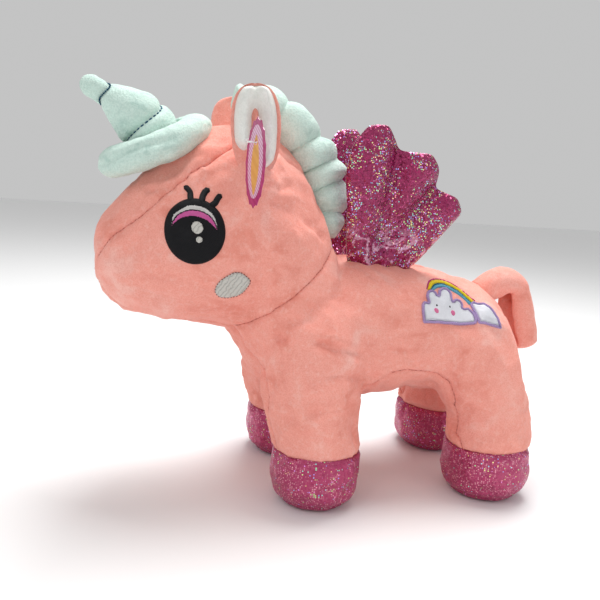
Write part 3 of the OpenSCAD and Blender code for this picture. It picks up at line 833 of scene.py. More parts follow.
def shell(points, inside, faces):
    """Points and faces, in millimetres, of a cloth shell between an outer and an inner skin."""
    used = sorted({i for face in faces for i in face})
    place = {i: k for k, i in enumerate(used)}
    count = len(used)
    outer = [[place[i] for i in face] for face in faces]
    edges = {}
    for face in outer:
        for a, b in zip(face, face[1:] + face[:1]):
            edges[(a, b)] = edges.get((a, b), 0) + 1
    rim = [(a, b) for a, b in edges if (b, a) not in edges]
    inner = [[i + count for i in reversed(face)] for face in outer]
    walls = [(b, a, a + count, b + count) for a, b in rim]
    return [points[i] / MM for i in used] + [inside[i] / MM for i in used], outer + inner + walls


def make_filling(form):
    """The loose fibre inside the cover, as one lumpy closed piece."""
    mesh = form.data.copy()
    push_in(mesh, lambda p: 3.2 + 0.5 * wander(p, 7, 9))
    return add_mesh("body_filling", mesh, [fibre()])


class UNICORN_OT_body(bpy.types.Operator):
    """Sew and fill the velvet body with its glitter hooves"""
    bl_idname = "unicorn.body"
    bl_label = "Body and Hooves"

    def execute(self, context):
        form = sew_cover()
        for region, (points, faces) in cut_pieces(form).items():
            foot = region.endswith(("_hoof", "_sole"))
            piece = add_object(region + "_cloth", points, faces, [glitter_knit() if foot else velvet()])
            belongs(piece, "body", "glitter_knit" if foot else "velvet", [region])
        twine = thread("seam_thread", (0.76, 0.23, 0.19, 1), (0, 0, 1), 3000.0, 0.1, 0.8)
        belongs(stitches("seam_stitches", shared["seams"], 0.24, [twine]), "body", "velvet")
        belongs(make_filling(form), "body", "fibre", FILL_NODES, 0.75)
        bpy.data.objects.remove(form)
        return {"FINISHED"}


# ---------- horn and brim ----------

BRIM_CENTRE = Vector((0, -114.1, 206.9))
BRIM_LEAN = radians(24)
BRIM_RING, BRIM_ROLL, BRIM_HOLE = 23.6, 10.2, 18.0
# Distance forward, height and radius of the horn in the brim's frame.
HORN = ((0, 0.5, 17.5), (0.4, 6, 17.8), (3.4, 13, 16.2), (7.6, 20, 13.2), (12.4, 27, 9.8), (17.2, 33.5, 7.2),
        (21.3, 38.5, 6.2), (24.5, 43.5, 5.8))
SPIRAL_START, SPIRAL_PITCH, SPIRAL_TURNS = 8.0, 23.0, 1.55
# Depth of the groove that the thread pulls into the cover.
SPIRAL_GROOVE = 1.3


def brim_frame(x, y, z):
    """A point of the brim's leaning frame, in the row frame."""
    c, s = cos(BRIM_LEAN), sin(BRIM_LEAN)
    return BRIM_CENTRE + Vector((x, y * c - z * s, y * s + z * c))


def spiral_rise(angle):
    """Turns that the horn's groove has climbed at an angle: slowly on its left side, fast on its right."""
    return angle / (2 * pi) - 0.21 * (1 - cos(angle))


def horn_point(t, angle, out=0.0):
    """A point of the horn's surface at t from foot to tip and an angle from the front, raised by out."""
    forward, height, radius = spline(HORN, t)
    ahead, behind = spline(HORN, min(1, t + 0.02)), spline(HORN, max(0, t - 0.02))
    axis = Vector((0, behind[0] - ahead[0], ahead[1] - behind[1])).normalized()
    front = Vector((0, -axis.z, axis.y)).normalized()
    turn = (height - SPIRAL_START) / SPIRAL_PITCH - spiral_rise(angle)
    away = abs((turn + 0.5) % 1 - 0.5)
    depth = smooth(-0.12, 0.05, turn)
    puff = 0.94 + 0.20 * depth * (min(1, away / 0.30) ** 0.55 - 0.62)
    near_tip = smooth(1.0, 0.86, t)
    radius = radius * puff * (0.35 + 0.65 * sqrt(near_tip))
    radius += out - SPIRAL_GROOVE * depth * hump(away * SPIRAL_PITCH, 1.6)
    side = Vector((sin(angle), 0, 0)) + front * cos(angle)
    centre = Vector((0, -forward, height + 3.5))
    return brim_frame(*(centre + side * (radius + 0.35 * wander(centre + side * radius, 6, 3))))


def spiral_point(a, out):
    """A point of the horn's groove at an angle from the front."""
    height = SPIRAL_START + SPIRAL_PITCH * spiral_rise(a)
    low, high = 0.0, 1.0
    for _ in range(24):
        t = (low + high) / 2
        low, high = (t, high) if spline(HORN, t)[1] < height else (low, t)
    return horn_point(t, a, out)


def stitch(path, radius, sides=8):
    """Points and faces of one short thread along a few points, thin at its ends."""
    rings = []
    for i, p in enumerate(path):
        along = (path[min(i + 1, len(path) - 1)] - path[max(i - 1, 0)]).normalized()
        across = along.orthogonal().normalized()
        up = along.cross(across)
        r = radius * sqrt(max(0.12, 1 - (2 * i / (len(path) - 1) - 1) ** 2))
        turns = [k * 2 * pi / sides for k in range(sides)]
        rings.append([p + (across * cos(a) + up * sin(a)) * r for a in turns])
    return swept(rings)


def stitches(name, paths, radius, materials):
    """One object of many threads."""
    points, faces = [], []
    for path in paths:
        more, shapes = stitch(path, radius)
        faces += [tuple(i + len(points) for i in face) for face in shapes]
        points += more
    return add_object(name, points, faces, materials)


class UNICORN_OT_horn(bpy.types.Operator):
    """Make the puffed horn and its spiral of thread"""
    bl_idname = "unicorn.horn"
    bl_label = "Horn"

    def execute(self, context):
        rows, around = 84, 72
        rings = [[horn_point(i / rows, k * 2 * pi / around) for k in range(around)] for i in range(rows + 1)]
        horn = add_object("horn_plush", *swept(rings), [mint_plush()])
        belongs(horn, "horn", "mint_plush", ["horn_cover"], 0.8)
        turn, length, gap = 0.0, 0.17, 0.05
        paths = []
        while turn < SPIRAL_TURNS * 2 * pi:
            paths.append([spiral_point(turn + length * k / 4, 0.25 + 0.3 * sin(pi * k / 4))
                          for k in range(5)])
            turn += length + gap
        twine = stitches("horn_spiral_stitches", paths, 0.55, [thread("blue_thread", colour("blue"))])
        belongs(twine, "horn", "blue_thread", ["horn_spiral_thread"])
        core = [[horn_point(i / 30, k * pi / 16, -2.4) for k in range(32)] for i in range(28)]
        filling = add_object("horn_filling", *swept(core), [fibre()])
        belongs(filling, "horn", "fibre", ["horn_stuffing"])
        return {"FINISHED"}


def brim_point(angle, section, inset=0.0):
    """A point of the drooping brim, by its angle round the horn from the front and round its roll."""
    near = hump((angle - 0.9 + pi) % (2 * pi) - pi, 1.3)
    droop = -3.2 * near + 0.8 * sin(2 * angle + 0.5)
    ring = BRIM_RING + 0.6 * near + 0.7 * sin(3 * angle)
    fold = 2.0 * hump(((section + pi + 0.15 * sin(4 * angle)) % (2 * pi) - pi) - 0.35, 0.26)
    roll = BRIM_ROLL - inset - fold * smooth(0.1, 0.8, 0.5 + 0.5 * sin(angle * 2 - 0.4))
    out, up = cos(section) * roll * 1.12, sin(section) * roll * 0.88
    reach = max(ring + out, BRIM_HOLE + inset + 0.15 * abs(out))
    p = brim_frame(sin(angle) * reach, -cos(angle) * reach, up + droop)
    gather = 0.45 * wander(p, 4.5, 1) + 0.6 * wander(p, 12, 2)
    return p + (p - brim_frame(sin(angle) * ring, -cos(angle) * ring, droop)).normalized() * gather


class UNICORN_OT_brim(bpy.types.Operator):
    """Make the stuffed brim round the foot of the horn"""
    bl_idname = "unicorn.brim"
    bl_label = "Brim"

    def execute(self, context):
        for name, inset, material, slot, nodes, fill in (
                ("horn_brim_plush", 0, mint_plush(), "mint_plush", ["horn_brim_cover"], 0.8),
                ("horn_brim_filling", 2.4, fibre(), "fibre", ["horn_brim_stuffing"], None)):
            around, section = 140, 40
            points = [brim_point(i * 2 * pi / around, k * 2 * pi / section, inset)
                      for i in range(around + 1) for k in range(section)]
            faces = [tuple(v % (around * section) for v in face)
                     for face in grid_faces(section, around + 1, closed=True)]
            belongs(add_object(name, points[:around * section], faces, [material]), "body", slot, nodes, fill)
        return {"FINISHED"}


# ---------- mane ----------

SKULL = Vector((0, -68.8, 167))
# Distance back, height and thickness factor of the mane from the middle of the skull.
MANE = ((-1, 64, 0.72), (8, 65.5, 0.85), (19, 65, 0.95), (30, 60.5, 1.0), (40, 52, 1.0), (49, 41.5, 1.0),
        (55, 31, 1.0), (59, 20.5, 1.0), (61.5, 10, 0.95), (62, 0, 0.85), (60, -9, 0.6))
MANE_THICK, MANE_PLEATS = 15.2, 7.0


def mane_point(t, angle):
    """A point of the pleated mane, by its way along the nape and its angle round the roll."""
    side = sin(angle)
    lean = t + 0.016 * side + 0.008 * sin(9 * t) + 0.004 * wander((t * 60, side * 5, 0), 5, 2)
    phase = MANE_PLEATS * (lean + 0.022 * sin(11 * lean))
    puff = abs(sin(pi * phase)) ** 0.62
    back, height, factor = spline(MANE, t)
    ahead, behind = spline(MANE, min(1, t + 0.02)), spline(MANE, max(0, t - 0.02))
    along = Vector((0, ahead[0] - behind[0], ahead[1] - behind[1])).normalized()
    out = Vector((0, -along.z, along.y))
    ends = sqrt(min(1, min(t, 1 - t) / 0.03 + 0.05))
    outward = max(0, cos(angle))
    size_out = MANE_THICK * factor * ends * (0.80 + 0.30 * puff * (0.35 + 0.65 * outward))
    size_side = MANE_THICK * factor * ends * (0.66 + 0.36 * puff)
    lift = 1.6 * sin(pi * phase * 0.5 + 1.0) * outward
    shift = 1.4 * sin(pi * phase + 0.7)
    p = SKULL + Vector((0, back, height)) + out * (cos(angle) * size_out + lift - 1.0)
    p += Vector((side * size_side + shift * outward, 0, 0))
    p += along * (1.8 * cos(angle) * sin(pi * phase * 1.5))
    return p + out * 0.5 * wander(p, 6, 4)


class UNICORN_OT_mane(bpy.types.Operator):
    """Make the pleated mane along the nape"""
    bl_idname = "unicorn.mane"
    bl_label = "Mane"

    def execute(self, context):
        rows, around = 190, 44
        rings = [[mane_point(i / rows, k * 2 * pi / around) for k in range(around)] for i in range(rows + 1)]
        mane = add_object("mane_pleats", *swept(rings), [mint_plush()])
        belongs(mane, "body", "mint_plush", ["mane"], 0.6)
        return {"FINISHED"}


# ---------- ears ----------

EAR_FOOT, EAR_TALL, EAR_DEEP = Vector((40.5, -62.3, 196)), 46.0, 5.5
# Half width of the ear by height from 0 at the foot to 1 at the tip.
EAR_LEAF = ((0, 9), (0.1, 11.5), (0.25, 13.4), (0.45, 14.3), (0.62, 14.2), (0.76, 13.2),
            (0.87, 11.2), (0.94, 8.6), (0.98, 5.6), (1, 2.4))


def ear_place(side, across, up, out):
    """A point of an ear, by mm across from front to back, share of its height and mm outwards."""
    lean = radians(5)
    y, z = across, up * EAR_TALL
    return Vector((side * (EAR_FOOT.x + out + 0.07 * z), EAR_FOOT.y + 1.5 + y * cos(lean) - z * sin(lean),
                   EAR_FOOT.z + z * cos(lean) + y * sin(lean)))


def ear_hollow(u, v):
    """How far the cupped ear stands back from its rim."""
    return -EAR_DEEP * (1 - u * u) * (0.45 + 0.55 * sin(pi * min(1, v * 1.1)))


def ear_outer_section(v, u, front):
    """Outward place of the velvet leaf: its front carries the crease that shows between the lobes."""
    if front:
        return ear_hollow(u, v) + 4.4 * hump(u - 0.02, 0.13) * smooth(0.80, 0.62, v)
    return ear_hollow(u, v) - 2.6 * sqrt(max(0, 1 - u * u)) - 0.2


def ear_lining_section(v, u, front):
    """Outward place of the lining: two puffed lobes that join over the top."""
    if not front:
        return ear_hollow(u * 0.9, v) - 0.4
    foot = (0.02 if u > 0 else 0.24) + 0.5 * (abs(u) - 0.56) ** 2
    lobe = 7.2 * hump(abs(u) - 0.56, 0.38) * (1 - hump(u, 0.20) * smooth(0.86, 0.66, v))
    crown = 2.6 * hump(v - 0.84, 0.13) * hump(u, 0.5)
    rise = smooth(foot - 0.03, foot + 0.10, v) * smooth(1.0, 0.93, v)
    edge = sqrt(max(0, 1 - u ** 4))
    return ear_hollow(u * 0.9, v) - 1.0 + (1.4 + lobe + crown) * rise * edge


def ear_piece(side, section, share, low, high):
    """A closed leaf between its front and back sections."""
    rows, across = 46, 30
    rings = []
    for i in range(rows + 1):
        v = low + (high - low) * i / rows
        half = ramp(EAR_LEAF, v) * share
        turns = [(-1 + 2 * k / across, True) for k in range(across)]
        turns += [(1 - 2 * k / across, False) for k in range(across)]
        ring = []
        for u, front in turns:
            p = ear_place(side, u * half, v, section(v, u, front))
            ring.append(p + Vector((side * 0.35 * wander(p, 5, 3), 0, 0)))
        rings.append(ring)
    return swept(rings)


class UNICORN_OT_ears(bpy.types.Operator):
    """Make both ears: a velvet leaf with a folded white lining"""
    bl_idname = "unicorn.ears"
    bl_label = "Ears"

    def execute(self, context):
        for name, side in SIDES.items():
            leaf = add_object(f"{name}_ear_leaf", *ear_piece(side, ear_outer_section, 1, 0, 1), [velvet()])
            lining = add_object(f"{name}_ear_white_lining",
                                *ear_piece(side, ear_lining_section, 0.86, 0.0, 0.965), [white_plush()])
            for piece, slot, node_name in ((leaf, "velvet", "outer"), (lining, "white_plush", "lining")):
                round_off(piece)
                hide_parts(f"{name}_ear_{node_name}")
                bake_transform(piece)
        return {"FINISHED"}


# ---------- wings ----------

WING_FOOT, WING_LONG, WING_TALL, WING_LEAN = Vector((14, 5.2, 142)), 71.0, 92.0, radians(10)
# Height below which the gathered root of a wing gets painted highlights, in metres.
WING_PAINTED_HIGHLIGHT_TOP = 0.172
# Outline, as shares of the wing's length and rise.
WING_OUTLINE = ((0.0, 0.07), (-0.05, 0.25), (-0.07, 0.42), (-0.13, 0.68), (-0.1, 0.87), (0.02, 1),
                (0.19, 1.01), (0.33, 0.85), (0.62, 0.85), (0.71, 0.76), (0.715, 0.62),
                (0.93, 0.57), (1.0, 0.47), (0.64, 0.1), (0.5, 0), (0.2, 0.01))
WING_RIBS = (((0.33, 0.86), (0.26, 0.26)), ((0.715, 0.62), (0.30, 0.24)))


def wing_place(side, a, b, out):
    """A point of a wing, by mm back, mm up along its lean, and mm outwards from its middle."""
    b -= 6
    return Vector((side * (WING_FOOT.x + b * sin(WING_LEAN) + out * cos(WING_LEAN)), WING_FOOT.y + a,
                   WING_FOOT.z + b * cos(WING_LEAN) - out * sin(WING_LEAN)))


def rounded_outline(corners, step, rounds):
    """A closed outline with even steps and rounded corners."""
    points = []
    for a, b in zip(corners, corners[1:] + corners[:1]):
        a, b = Vector(a), Vector(b)
        count = max(1, ceil((b - a).length / step))
        points += [a.lerp(b, k / count) for k in range(count)]
    for _ in range(rounds):
        points = [(before + here * 2 + after) / 4
                  for before, here, after in zip(points[-1:] + points[:-1], points, points[1:] + points[:1])]
    return points


def inside_outline(p, outline):
    """True for a point within a closed outline."""
    inside = False
    for a, b in zip(outline, outline[1:] + outline[:1]):
        if (a[1] > p[1]) != (b[1] > p[1]) and p[0] < (b[0] - a[0]) * (p[1] - a[1]) / (b[1] - a[1]) + a[0]:
            inside = not inside
    return inside


def filled_at(p, outlines):
    """True for a point within the first outline and outside the others."""
    return inside_outline(p, outlines[0]) and not any(inside_outline(p, hole) for hole in outlines[1:])


def rim_tree(outline):
    """A search tree of an outline's points."""
    tree = kdtree.KDTree(len(outline))
    for i, p in enumerate(outline):
        tree.insert((p[0], p[1], 0), i)
    tree.balance()
    return tree


def flat_mesh(outlines, step):
    """Points and triangles that fill the first outline and leave the others open, with even inner points."""
    points, edges = [], []
    for outline in outlines:
        first, count = len(points), len(outline)
        points += [Vector(p[:2]) for p in outline]
        edges += [(first + i, first + (i + 1) % count) for i in range(count)]
    trees = [rim_tree(outline) for outline in outlines]
    low = [min(p[k] for p in outlines[0]) for k in (0, 1)]
    high = [max(p[k] for p in outlines[0]) for k in (0, 1)]
    row, v = 0, low[1]
    while v < high[1]:
        u = low[0] + (row % 2) * step / 2
        while u < high[0]:
            p = Vector((u, v))
            clear = all(tree.find((u, v, 0))[2] > step * 0.55 for tree in trees)
            if clear and filled_at(p, outlines):
                points.append(p)
            u += step
        v += step * 0.87
        row += 1
    made, _, faces, *_ = delaunay_2d_cdt(points, edges, [], 1, 1e-5)
    keep = []
    for face in faces:
        middle = sum((made[i] for i in face), Vector((0, 0))) / len(face)
        if filled_at(middle, outlines):
            keep.append(tuple(face))
    return [Vector(p) for p in made], keep


def line_distance(p, a, b):
    """Distance from a flat point to the stretch a-b, and the share of the way along it."""
    along = Vector(b) - Vector(a)
    t = min(1, max(0, (p - Vector(a)).dot(along) / along.length_squared))
    return (p - Vector(a) - along * t).length, t


def wing_shape(p, edge):
    """Outward place of the wing's middle and half its thickness at a flat point."""
    middle, half = 0.0, 0.45 + 2.7 * (1 - exp(-edge / 4.5))
    for start, end in WING_RIBS:
        start, end = [(s[0] * WING_LONG, s[1] * WING_TALL) for s in (start, end)]
        far, t = line_distance(p, start, end)
        fade = 1 - 0.4 * t
        middle -= 5.6 * fade * hump(far, 6.5)
        half -= 1.7 * fade * hump(far, 1.8)
    base = smooth(34, 4, p.y)
    fan = atan2(p.x - 20, p.y + 16)
    gathers = 1.7 * sin(11 * fan + 2.2 * wander((p.x, p.y, 0), 14, 1)) + 1.6 * wander((p.x, p.y, 3), 7, 2)
    middle += base * gathers
    middle += 0.9 * wander((p.x, p.y, 9), 19, 3) + 1.6 * sin(p.y / 30)
    middle += 0.5 * wander((p.x * 1.6, p.y * 0.5, 1), 6, 5)
    pinch = 1 - 0.45 * smooth(10, 0, p.y)
    return middle * smooth(0, 6, edge + 3), max(0.3, half * pinch)


def wing_faces(side):
    """Points and faces of the outer and the inner cloth of a wing, as thin shells."""
    corners = [(a * WING_LONG, b * WING_TALL) for a, b in WING_OUTLINE]
    outline = rounded_outline(corners, 1.5, 5)
    flat, triangles = flat_mesh([outline], 1.9)
    tree = rim_tree(outline)
    shapes = [wing_shape(p, tree.find((p.x, p.y, 0))[2]) for p in flat]
    for sign in (1, -1):
        skins = []
        for thick in (0, 0.5):
            skins.append([wing_place(side, p.x, p.y, middle + sign * max(0.05, half - thick))
                          for p, (middle, half) in zip(flat, shapes)])
        yield sign, skins, triangles


def double_skin(skins, triangles):
    """A closed shell from two skins with the same triangles."""
    count = len(skins[0])
    edges = {}
    for face in triangles:
        for a, b in zip(face, face[1:] + face[:1]):
            edges[(a, b)] = True
    faces = list(triangles) + [tuple(i + count for i in reversed(face)) for face in triangles]
    faces += [(b, a, a + count, b + count) for a, b in edges if (b, a) not in edges]
    return skins[0] + skins[1], faces


class UNICORN_OT_wings(bpy.types.Operator):
    """Make both padded wings with stitched ribs and a gathered root"""
    bl_idname = "unicorn.wings"
    bl_label = "Wings"

    def execute(self, context):
        for name, side in SIDES.items():
            made = []
            for sign, skins, triangles in wing_faces(side):
                label = "outer" if sign > 0 else "inner"
                piece = add_object(f"{name}_wing_{label}_cloth", *double_skin(skins, triangles),
                                   [wing_foil()])
                made.append((piece, "wing_foil_cloth", f"{name}_wing_{label}_face"))
                if sign > 0:
                    back = skins[1]
                else:
                    pad = add_object(f"{name}_wing_pad", *double_skin([back, skins[1]], triangles), [fibre()])
                    made.append((pad, "fibre", f"{name}_wing_wadding"))
            for piece, slot, node_name in made:
                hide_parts(node_name)
                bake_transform(piece)
        return {"FINISHED"}


# ---------- tail ----------

# Distance back and height from the frame's middle, and thickness factor, of the tail.
TAIL = ((106, 124, 0.85), (115, 129.5, 0.95), (123, 132.0, 1.0), (130, 129.5, 1.0), (134.5, 122, 1.0),
        (137.5, 112.5, 1.04), (140.5, 103, 1.04), (143.5, 94, 0.98), (145.5, 86, 0.85))
TAIL_WIDE, TAIL_DEEP = 11.5, 10.6


def tail_point(t, angle):
    """A point of the folded tail, by its way along and its angle round; its inner side has a hollow."""
    y, z, factor = spline(TAIL, t)
    ahead, behind = spline(TAIL, min(1, t + 0.03)), spline(TAIL, max(0, t - 0.03))
    along = Vector((0, ahead[0] - behind[0], ahead[1] - behind[1])).normalized()
    out = Vector((0, -along.z, along.y))
    end = sqrt(min(1, max(0, 1 - t) / 0.07 + 0.02))
    across, deep = sin(angle) * TAIL_WIDE * factor * end, cos(angle) * TAIL_DEEP * factor * end
    if cos(angle) < 0:
        deep *= 1 + 0.35 * smooth(0.35, 0.6, t)
        open_here = smooth(0.12, 0.4, t) * smooth(1.0, 0.86, t)
        deep += 15.0 * open_here * hump(across - 1.0, 5.6) * abs(cos(angle))
    p = Vector((across, y, z)) + out * deep
    return p + out * (0.7 * wander(p, 9, 1) + 0.35 * wander(p, 4, 2))


class UNICORN_OT_tail(bpy.types.Operator):
    """Make the folded velvet tail"""
    bl_idname = "unicorn.tail"
    bl_label = "Tail"

    def execute(self, context):
        rows, around = 70, 52
        rings = [[tail_point(i / rows, k * 2 * pi / around) for k in range(around)] for i in range(rows + 1)]
        tail = add_object("tail_velvet", *swept(rings), [velvet()])
        round_off(tail)
        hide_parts("tail_cover", "tail_stuffing")
        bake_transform(tail)
        return {"FINISHED"}


# ---------- embroidery ----------

EYE, CHEEK = Vector((0, -93.8, 161)), Vector((0, -71.8, 132))
HAUNCH, HAUNCH_LEAN = Vector((43, 62.7, 120.5)), radians(35)
# Edges of the eye's crescents, from its front to its back, in mm from the middle of the eye.
WHITE_ARC = ((-12.1, 1.6), (-10.6, 8.2), (-5.6, 12.6), (-0.6, 13.9), (5.1, 12.8), (9.8, 8.7), (12.4, 0.2))
MIDDLE_ARC = ((-12.1, 1.5), (-9.6, 6.9), (-5.6, 10.2), (-0.6, 11.3), (4.9, 10.3), (9.4, 6.8), (12.3, 0.2))
PINK_ARC = ((-12.1, 1.4), (-8.0, 5.6), (-4.6, 7.3), (-0.6, 8.0), (4.8, 6.9), (9.0, 4.0), (12.3, 0.1))
LASHES = (((-2.6, 15.6), (-2.7, 18.6), (-3.0, 21.0), (-5.0, 23.2)),
          ((3.0, 15.8), (3.6, 18.8), (4.8, 21.2), (6.4, 22.9)),
          ((7.8, 14.2), (10.0, 16.0), (11.2, 18.2), (12.6, 20.2)))
LASH_WIDTH = 3.3
CHEEK_SHAPE = ((-6.9, 3.6), (-0.4, 7.9), (3.8, 8.1), (9.3, 4.2), (9.7, 2), (6.2, -3.9), (3.2, -6.2),
               (-2.1, -7.4), (-7.5, -6.8), (-9.5, -3.9), (-9.2, 0.2))
CLOUD = ((-17.8, -9), (-18.8, -3), (-18.4, 2), (-16, 4.8), (-12.8, 4.2), (-13.8, 8.4), (-12, 12.2),
         (-8.6, 13.2), (-6, 11.6), (-5.2, 8.8), (-4, 13.2), (-0.8, 15.6), (2.8, 14.8), (5, 11.6),
         (4.8, 6.6), (7.6, 8.8), (10.8, 7.8), (12.4, 5), (11.6, 2.2), (15.6, 2.4), (18.2, -1.6),
         (19, -6), (18, -9))
BACK_CLOUD = ((17, 5), (19.5, 7.4), (22.4, 5.6), (26.4, 5.8), (30.3, 0.8), (33.2, -5.3),
              (34.6, -12.2), (19, -9))
RAINBOW_OUTER = ((-12.4, 13.4), (-8.6, 20.4), (-1, 23), (7, 21), (14, 16.6), (19, 11), (21.6, 7.6))
RAINBOW_INNER = ((-7.6, 12.6), (-3.6, 15.0), (2, 15.4), (7, 13.6), (11.4, 11), (14.6, 7.8), (16.4, 4.6))


def on_cover(start, direction):
    """Where a straight line first meets the cover, and the cover's normal there."""
    hit, normal, *_ = shared["cover"].ray_cast(start * MM, direction.normalized())
    if hit is None:
        raise RuntimeError(f"no cover under a stitch at {tuple(start)}")
    return hit / MM, normal


def side_aim(side, centre):
    """Lines that meet one side of the head square on."""
    return lambda u, v: (Vector((side * 90, centre.y + u, centre.z + v)), Vector((-side, 0, 0)))


def haunch_aim(side):
    """Lines that meet one haunch from outside and above."""
    out = Vector((side * cos(HAUNCH_LEAN), 0, sin(HAUNCH_LEAN)))
    up = Vector((-side * sin(HAUNCH_LEAN), 0, cos(HAUNCH_LEAN)))
    origin = Vector((side * HAUNCH.x, HAUNCH.y, HAUNCH.z))
    return lambda u, v: (origin + Vector((0, u, 0)) + up * v + out * 40, -out)


def even_normals(normals, triangles, rounds=6):
    """Normals averaged with their neighbours'."""
    for _ in range(rounds):
        sums = [n.copy() for n in normals]
        for face in triangles:
            total = sum((normals[i] for i in face), Vector())
            for i in face:
                sums[i] += total
        normals = [n.normalized() for n in sums]
    return normals


def patch(name, outlines, aim, material, height, lift=0.0, step=0.9, rim=0.9):
    """A patch of thread that lies on the cover, lifted off it and rounded at its edges."""
    flat, triangles = flat_mesh(outlines, step)
    trees = [rim_tree(outline) for outline in outlines]
    feet = [on_cover(*aim(p.x, p.y)) for p in flat]
    normals = even_normals([normal for _, normal in feet], triangles)
    top, bottom = [], []
    for p, (foot, _), normal in zip(flat, feet, normals):
        edge = min(tree.find((p.x, p.y, 0))[2] for tree in trees)
        rise = height * sqrt(max(0, 1 - (1 - min(1, edge / rim)) ** 2))
        top.append(foot + normal * (lift + 0.15 + rise))
        bottom.append(foot - normal * 0.3)
    return add_object(name, *double_skin([top, bottom], triangles), [material])


def round_shape(u, v, wide, tall, count=48):
    """A closed oval."""
    turns = [k * 2 * pi / count for k in range(count)]
    return [Vector((u + wide * cos(a), v + tall * sin(a))) for a in turns]


def between(first, second, low, high, count=40):
    """The closed band between two shares of the way from one arc to another."""
    edges = []
    for share in (low, high):
        rows = []
        for k in range(count + 1):
            a, b = Vector(spline(first, k / count)), Vector(spline(second, k / count))
            rows.append(a.lerp(b, share))
        edges.append(rows)
    return edges[0] + edges[1][::-1]


def offset_outline(outline, inward):
    """An outline moved inwards by a distance."""
    area = sum(a[0] * b[1] - b[0] * a[1] for a, b in zip(outline, outline[1:] + outline[:1]))
    turn = 1 if area > 0 else -1
    moved = []
    for i, p in enumerate(outline):
        along = (outline[(i + 2) % len(outline)] - outline[i - 2]).normalized()
        moved.append(p + Vector((-along.y, along.x)) * (turn * inward))
    return moved


def thick_line(points, width, ends=0.7):
    """The closed outline of a line of thread, drawn in at its far end."""
    count = 16
    left, right = [], []
    for k in range(count + 1):
        here = Vector(spline(points, k / count))
        ahead, behind = spline(points, min(1, (k + 1) / count)), spline(points, max(0, (k - 1) / count))
        along = (Vector(ahead) - Vector(behind)).normalized()
        across = Vector((-along.y, along.x)) * (width / 2 * (1 - (1 - ends) * k / count))
        left.append(here + across)
        right.append(here - across)
    tip = Vector(spline(points, 1))
    return left + [tip + (tip - Vector(spline(points, 0.94))).normalized() * width * 0.3] + right[::-1]


def dashes(name, outline, aim, material, length, gap, radius, lift):
    """A ring of short stitches along an outline."""
    tour = [Vector(p) for p in outline] + [Vector(outline[0])]
    marks = [0.0]
    for a, b in zip(tour, tour[1:]):
        marks.append(marks[-1] + (b - a).length)

    def at(far):
        for (m0, a), (m1, b) in zip(zip(marks, tour), zip(marks[1:], tour[1:])):
            if far <= m1:
                return a.lerp(b, (far - m0) / max(1e-6, m1 - m0))
        return tour[-1]

    paths, far = [], 0.0
    while far + length < marks[-1]:
        path = []
        for k in range(4):
            foot, normal = on_cover(*aim(*at(far + length * k / 3)))
            path.append(foot + normal * (lift + radius * 0.4 * sin(pi * k / 3)))
        paths.append(path)
        far += length + gap
    return stitches(name, paths, radius, [material])


def black_thread():
    """Black satin of the eyes, with faint slanted rows."""
    return thread("black_thread", colour("black"), (0, 0.45, 0.9), 1500.0, 0.3, 0.62)


def silver_thread():
    """Pale grey satin in thick slanted rows."""
    return thread("grey_thread", colour("silver"), (0, 0.86, -0.5), 460.0, 0.34, 0.5)


class UNICORN_OT_eyes(bpy.types.Operator):
    """Stitch both eyes: black ground, lashes, crescents and highlights"""
    bl_idname = "unicorn.eyes"
    bl_label = "Eyes"

    def execute(self, context):
        pale = thread("white_thread", (0.72, 0.70, 0.68, 1), (0, 0.2, 1), 1900.0, 0.25)
        pink = thread("pink_thread", colour("pink"), (0, 0.2, 1), 1900.0, 0.35)
        rise = size("stitch")
        for name, side in SIDES.items():
            aim = side_aim(side, EYE)
            ground = rounded_outline([tuple(p) for p in round_shape(0, 0, 16.1, 17.7)], 0.9, 1)
            black = patch(f"{name}_eye_ground", [ground], aim, black_thread(), rise, step=1.0, rim=1.3)
            belongs(black, "body", "black_thread", [f"{name}_eye_black"])
            for k, lash in enumerate(LASHES):
                line = patch(f"{name}_eye_lash_{k + 1}", [thick_line(lash, LASH_WIDTH, 0.9)], aim,
                             black_thread(), rise, step=0.6)
                belongs(line, "body", "black_thread")
            lift = rise * 0.75
            white = patch(f"{name}_eye_white_crescent", [between(WHITE_ARC, MIDDLE_ARC, 0, 0.98)], aim, pale,
                          0.5, lift, 0.6, 0.5)
            belongs(white, "body", "white_thread", [f"{name}_eye_white"])
            crescent = patch(f"{name}_eye_pink_crescent", [between(MIDDLE_ARC, PINK_ARC, 0.02, 1)], aim, pink,
                             0.5, lift, 0.6, 0.5)
            belongs(crescent, "body", "pink_thread", [f"{name}_eye_pink"])
            for label, spot in (("large", (1.3, 2.2, 3.1, 3.5)), ("small", (2.4, -4.1, 1.9, 1.9))):
                shine = patch(f"{name}_eye_{label}_highlight", [round_shape(*spot, 30)], aim,
                              silver_thread(), 0.6, lift, 0.6, 0.6)
                belongs(shine, "body", "grey_thread")
        return {"FINISHED"}


class UNICORN_OT_cheeks(bpy.types.Operator):
    """Stitch both cheeks in thick grey rows with a dotted edge"""
    bl_idname = "unicorn.cheeks"
    bl_label = "Cheeks"

    def execute(self, context):
        edge = thread("cheek_edge_thread", (0.33, 0.10, 0.10, 1), (0, 1, 0), 3000.0, 0.2, 0.7)
        for name, side in SIDES.items():
            aim = side_aim(side, CHEEK)
            outline = rounded_outline(list(CHEEK_SHAPE), 0.9, 4)
            satin = patch(f"{name}_cheek_satin", [outline], aim, silver_thread(), size("stitch"), rim=0.8)
            belongs(satin, "body", "grey_thread", [f"{name}_cheek_patch"])
            ring = dashes(f"{name}_cheek_edge_stitches", outline, aim, edge, 0.8, 0.9, 0.3, 0.35)
            belongs(ring, "body", "pink_thread")
        return {"FINISHED"}


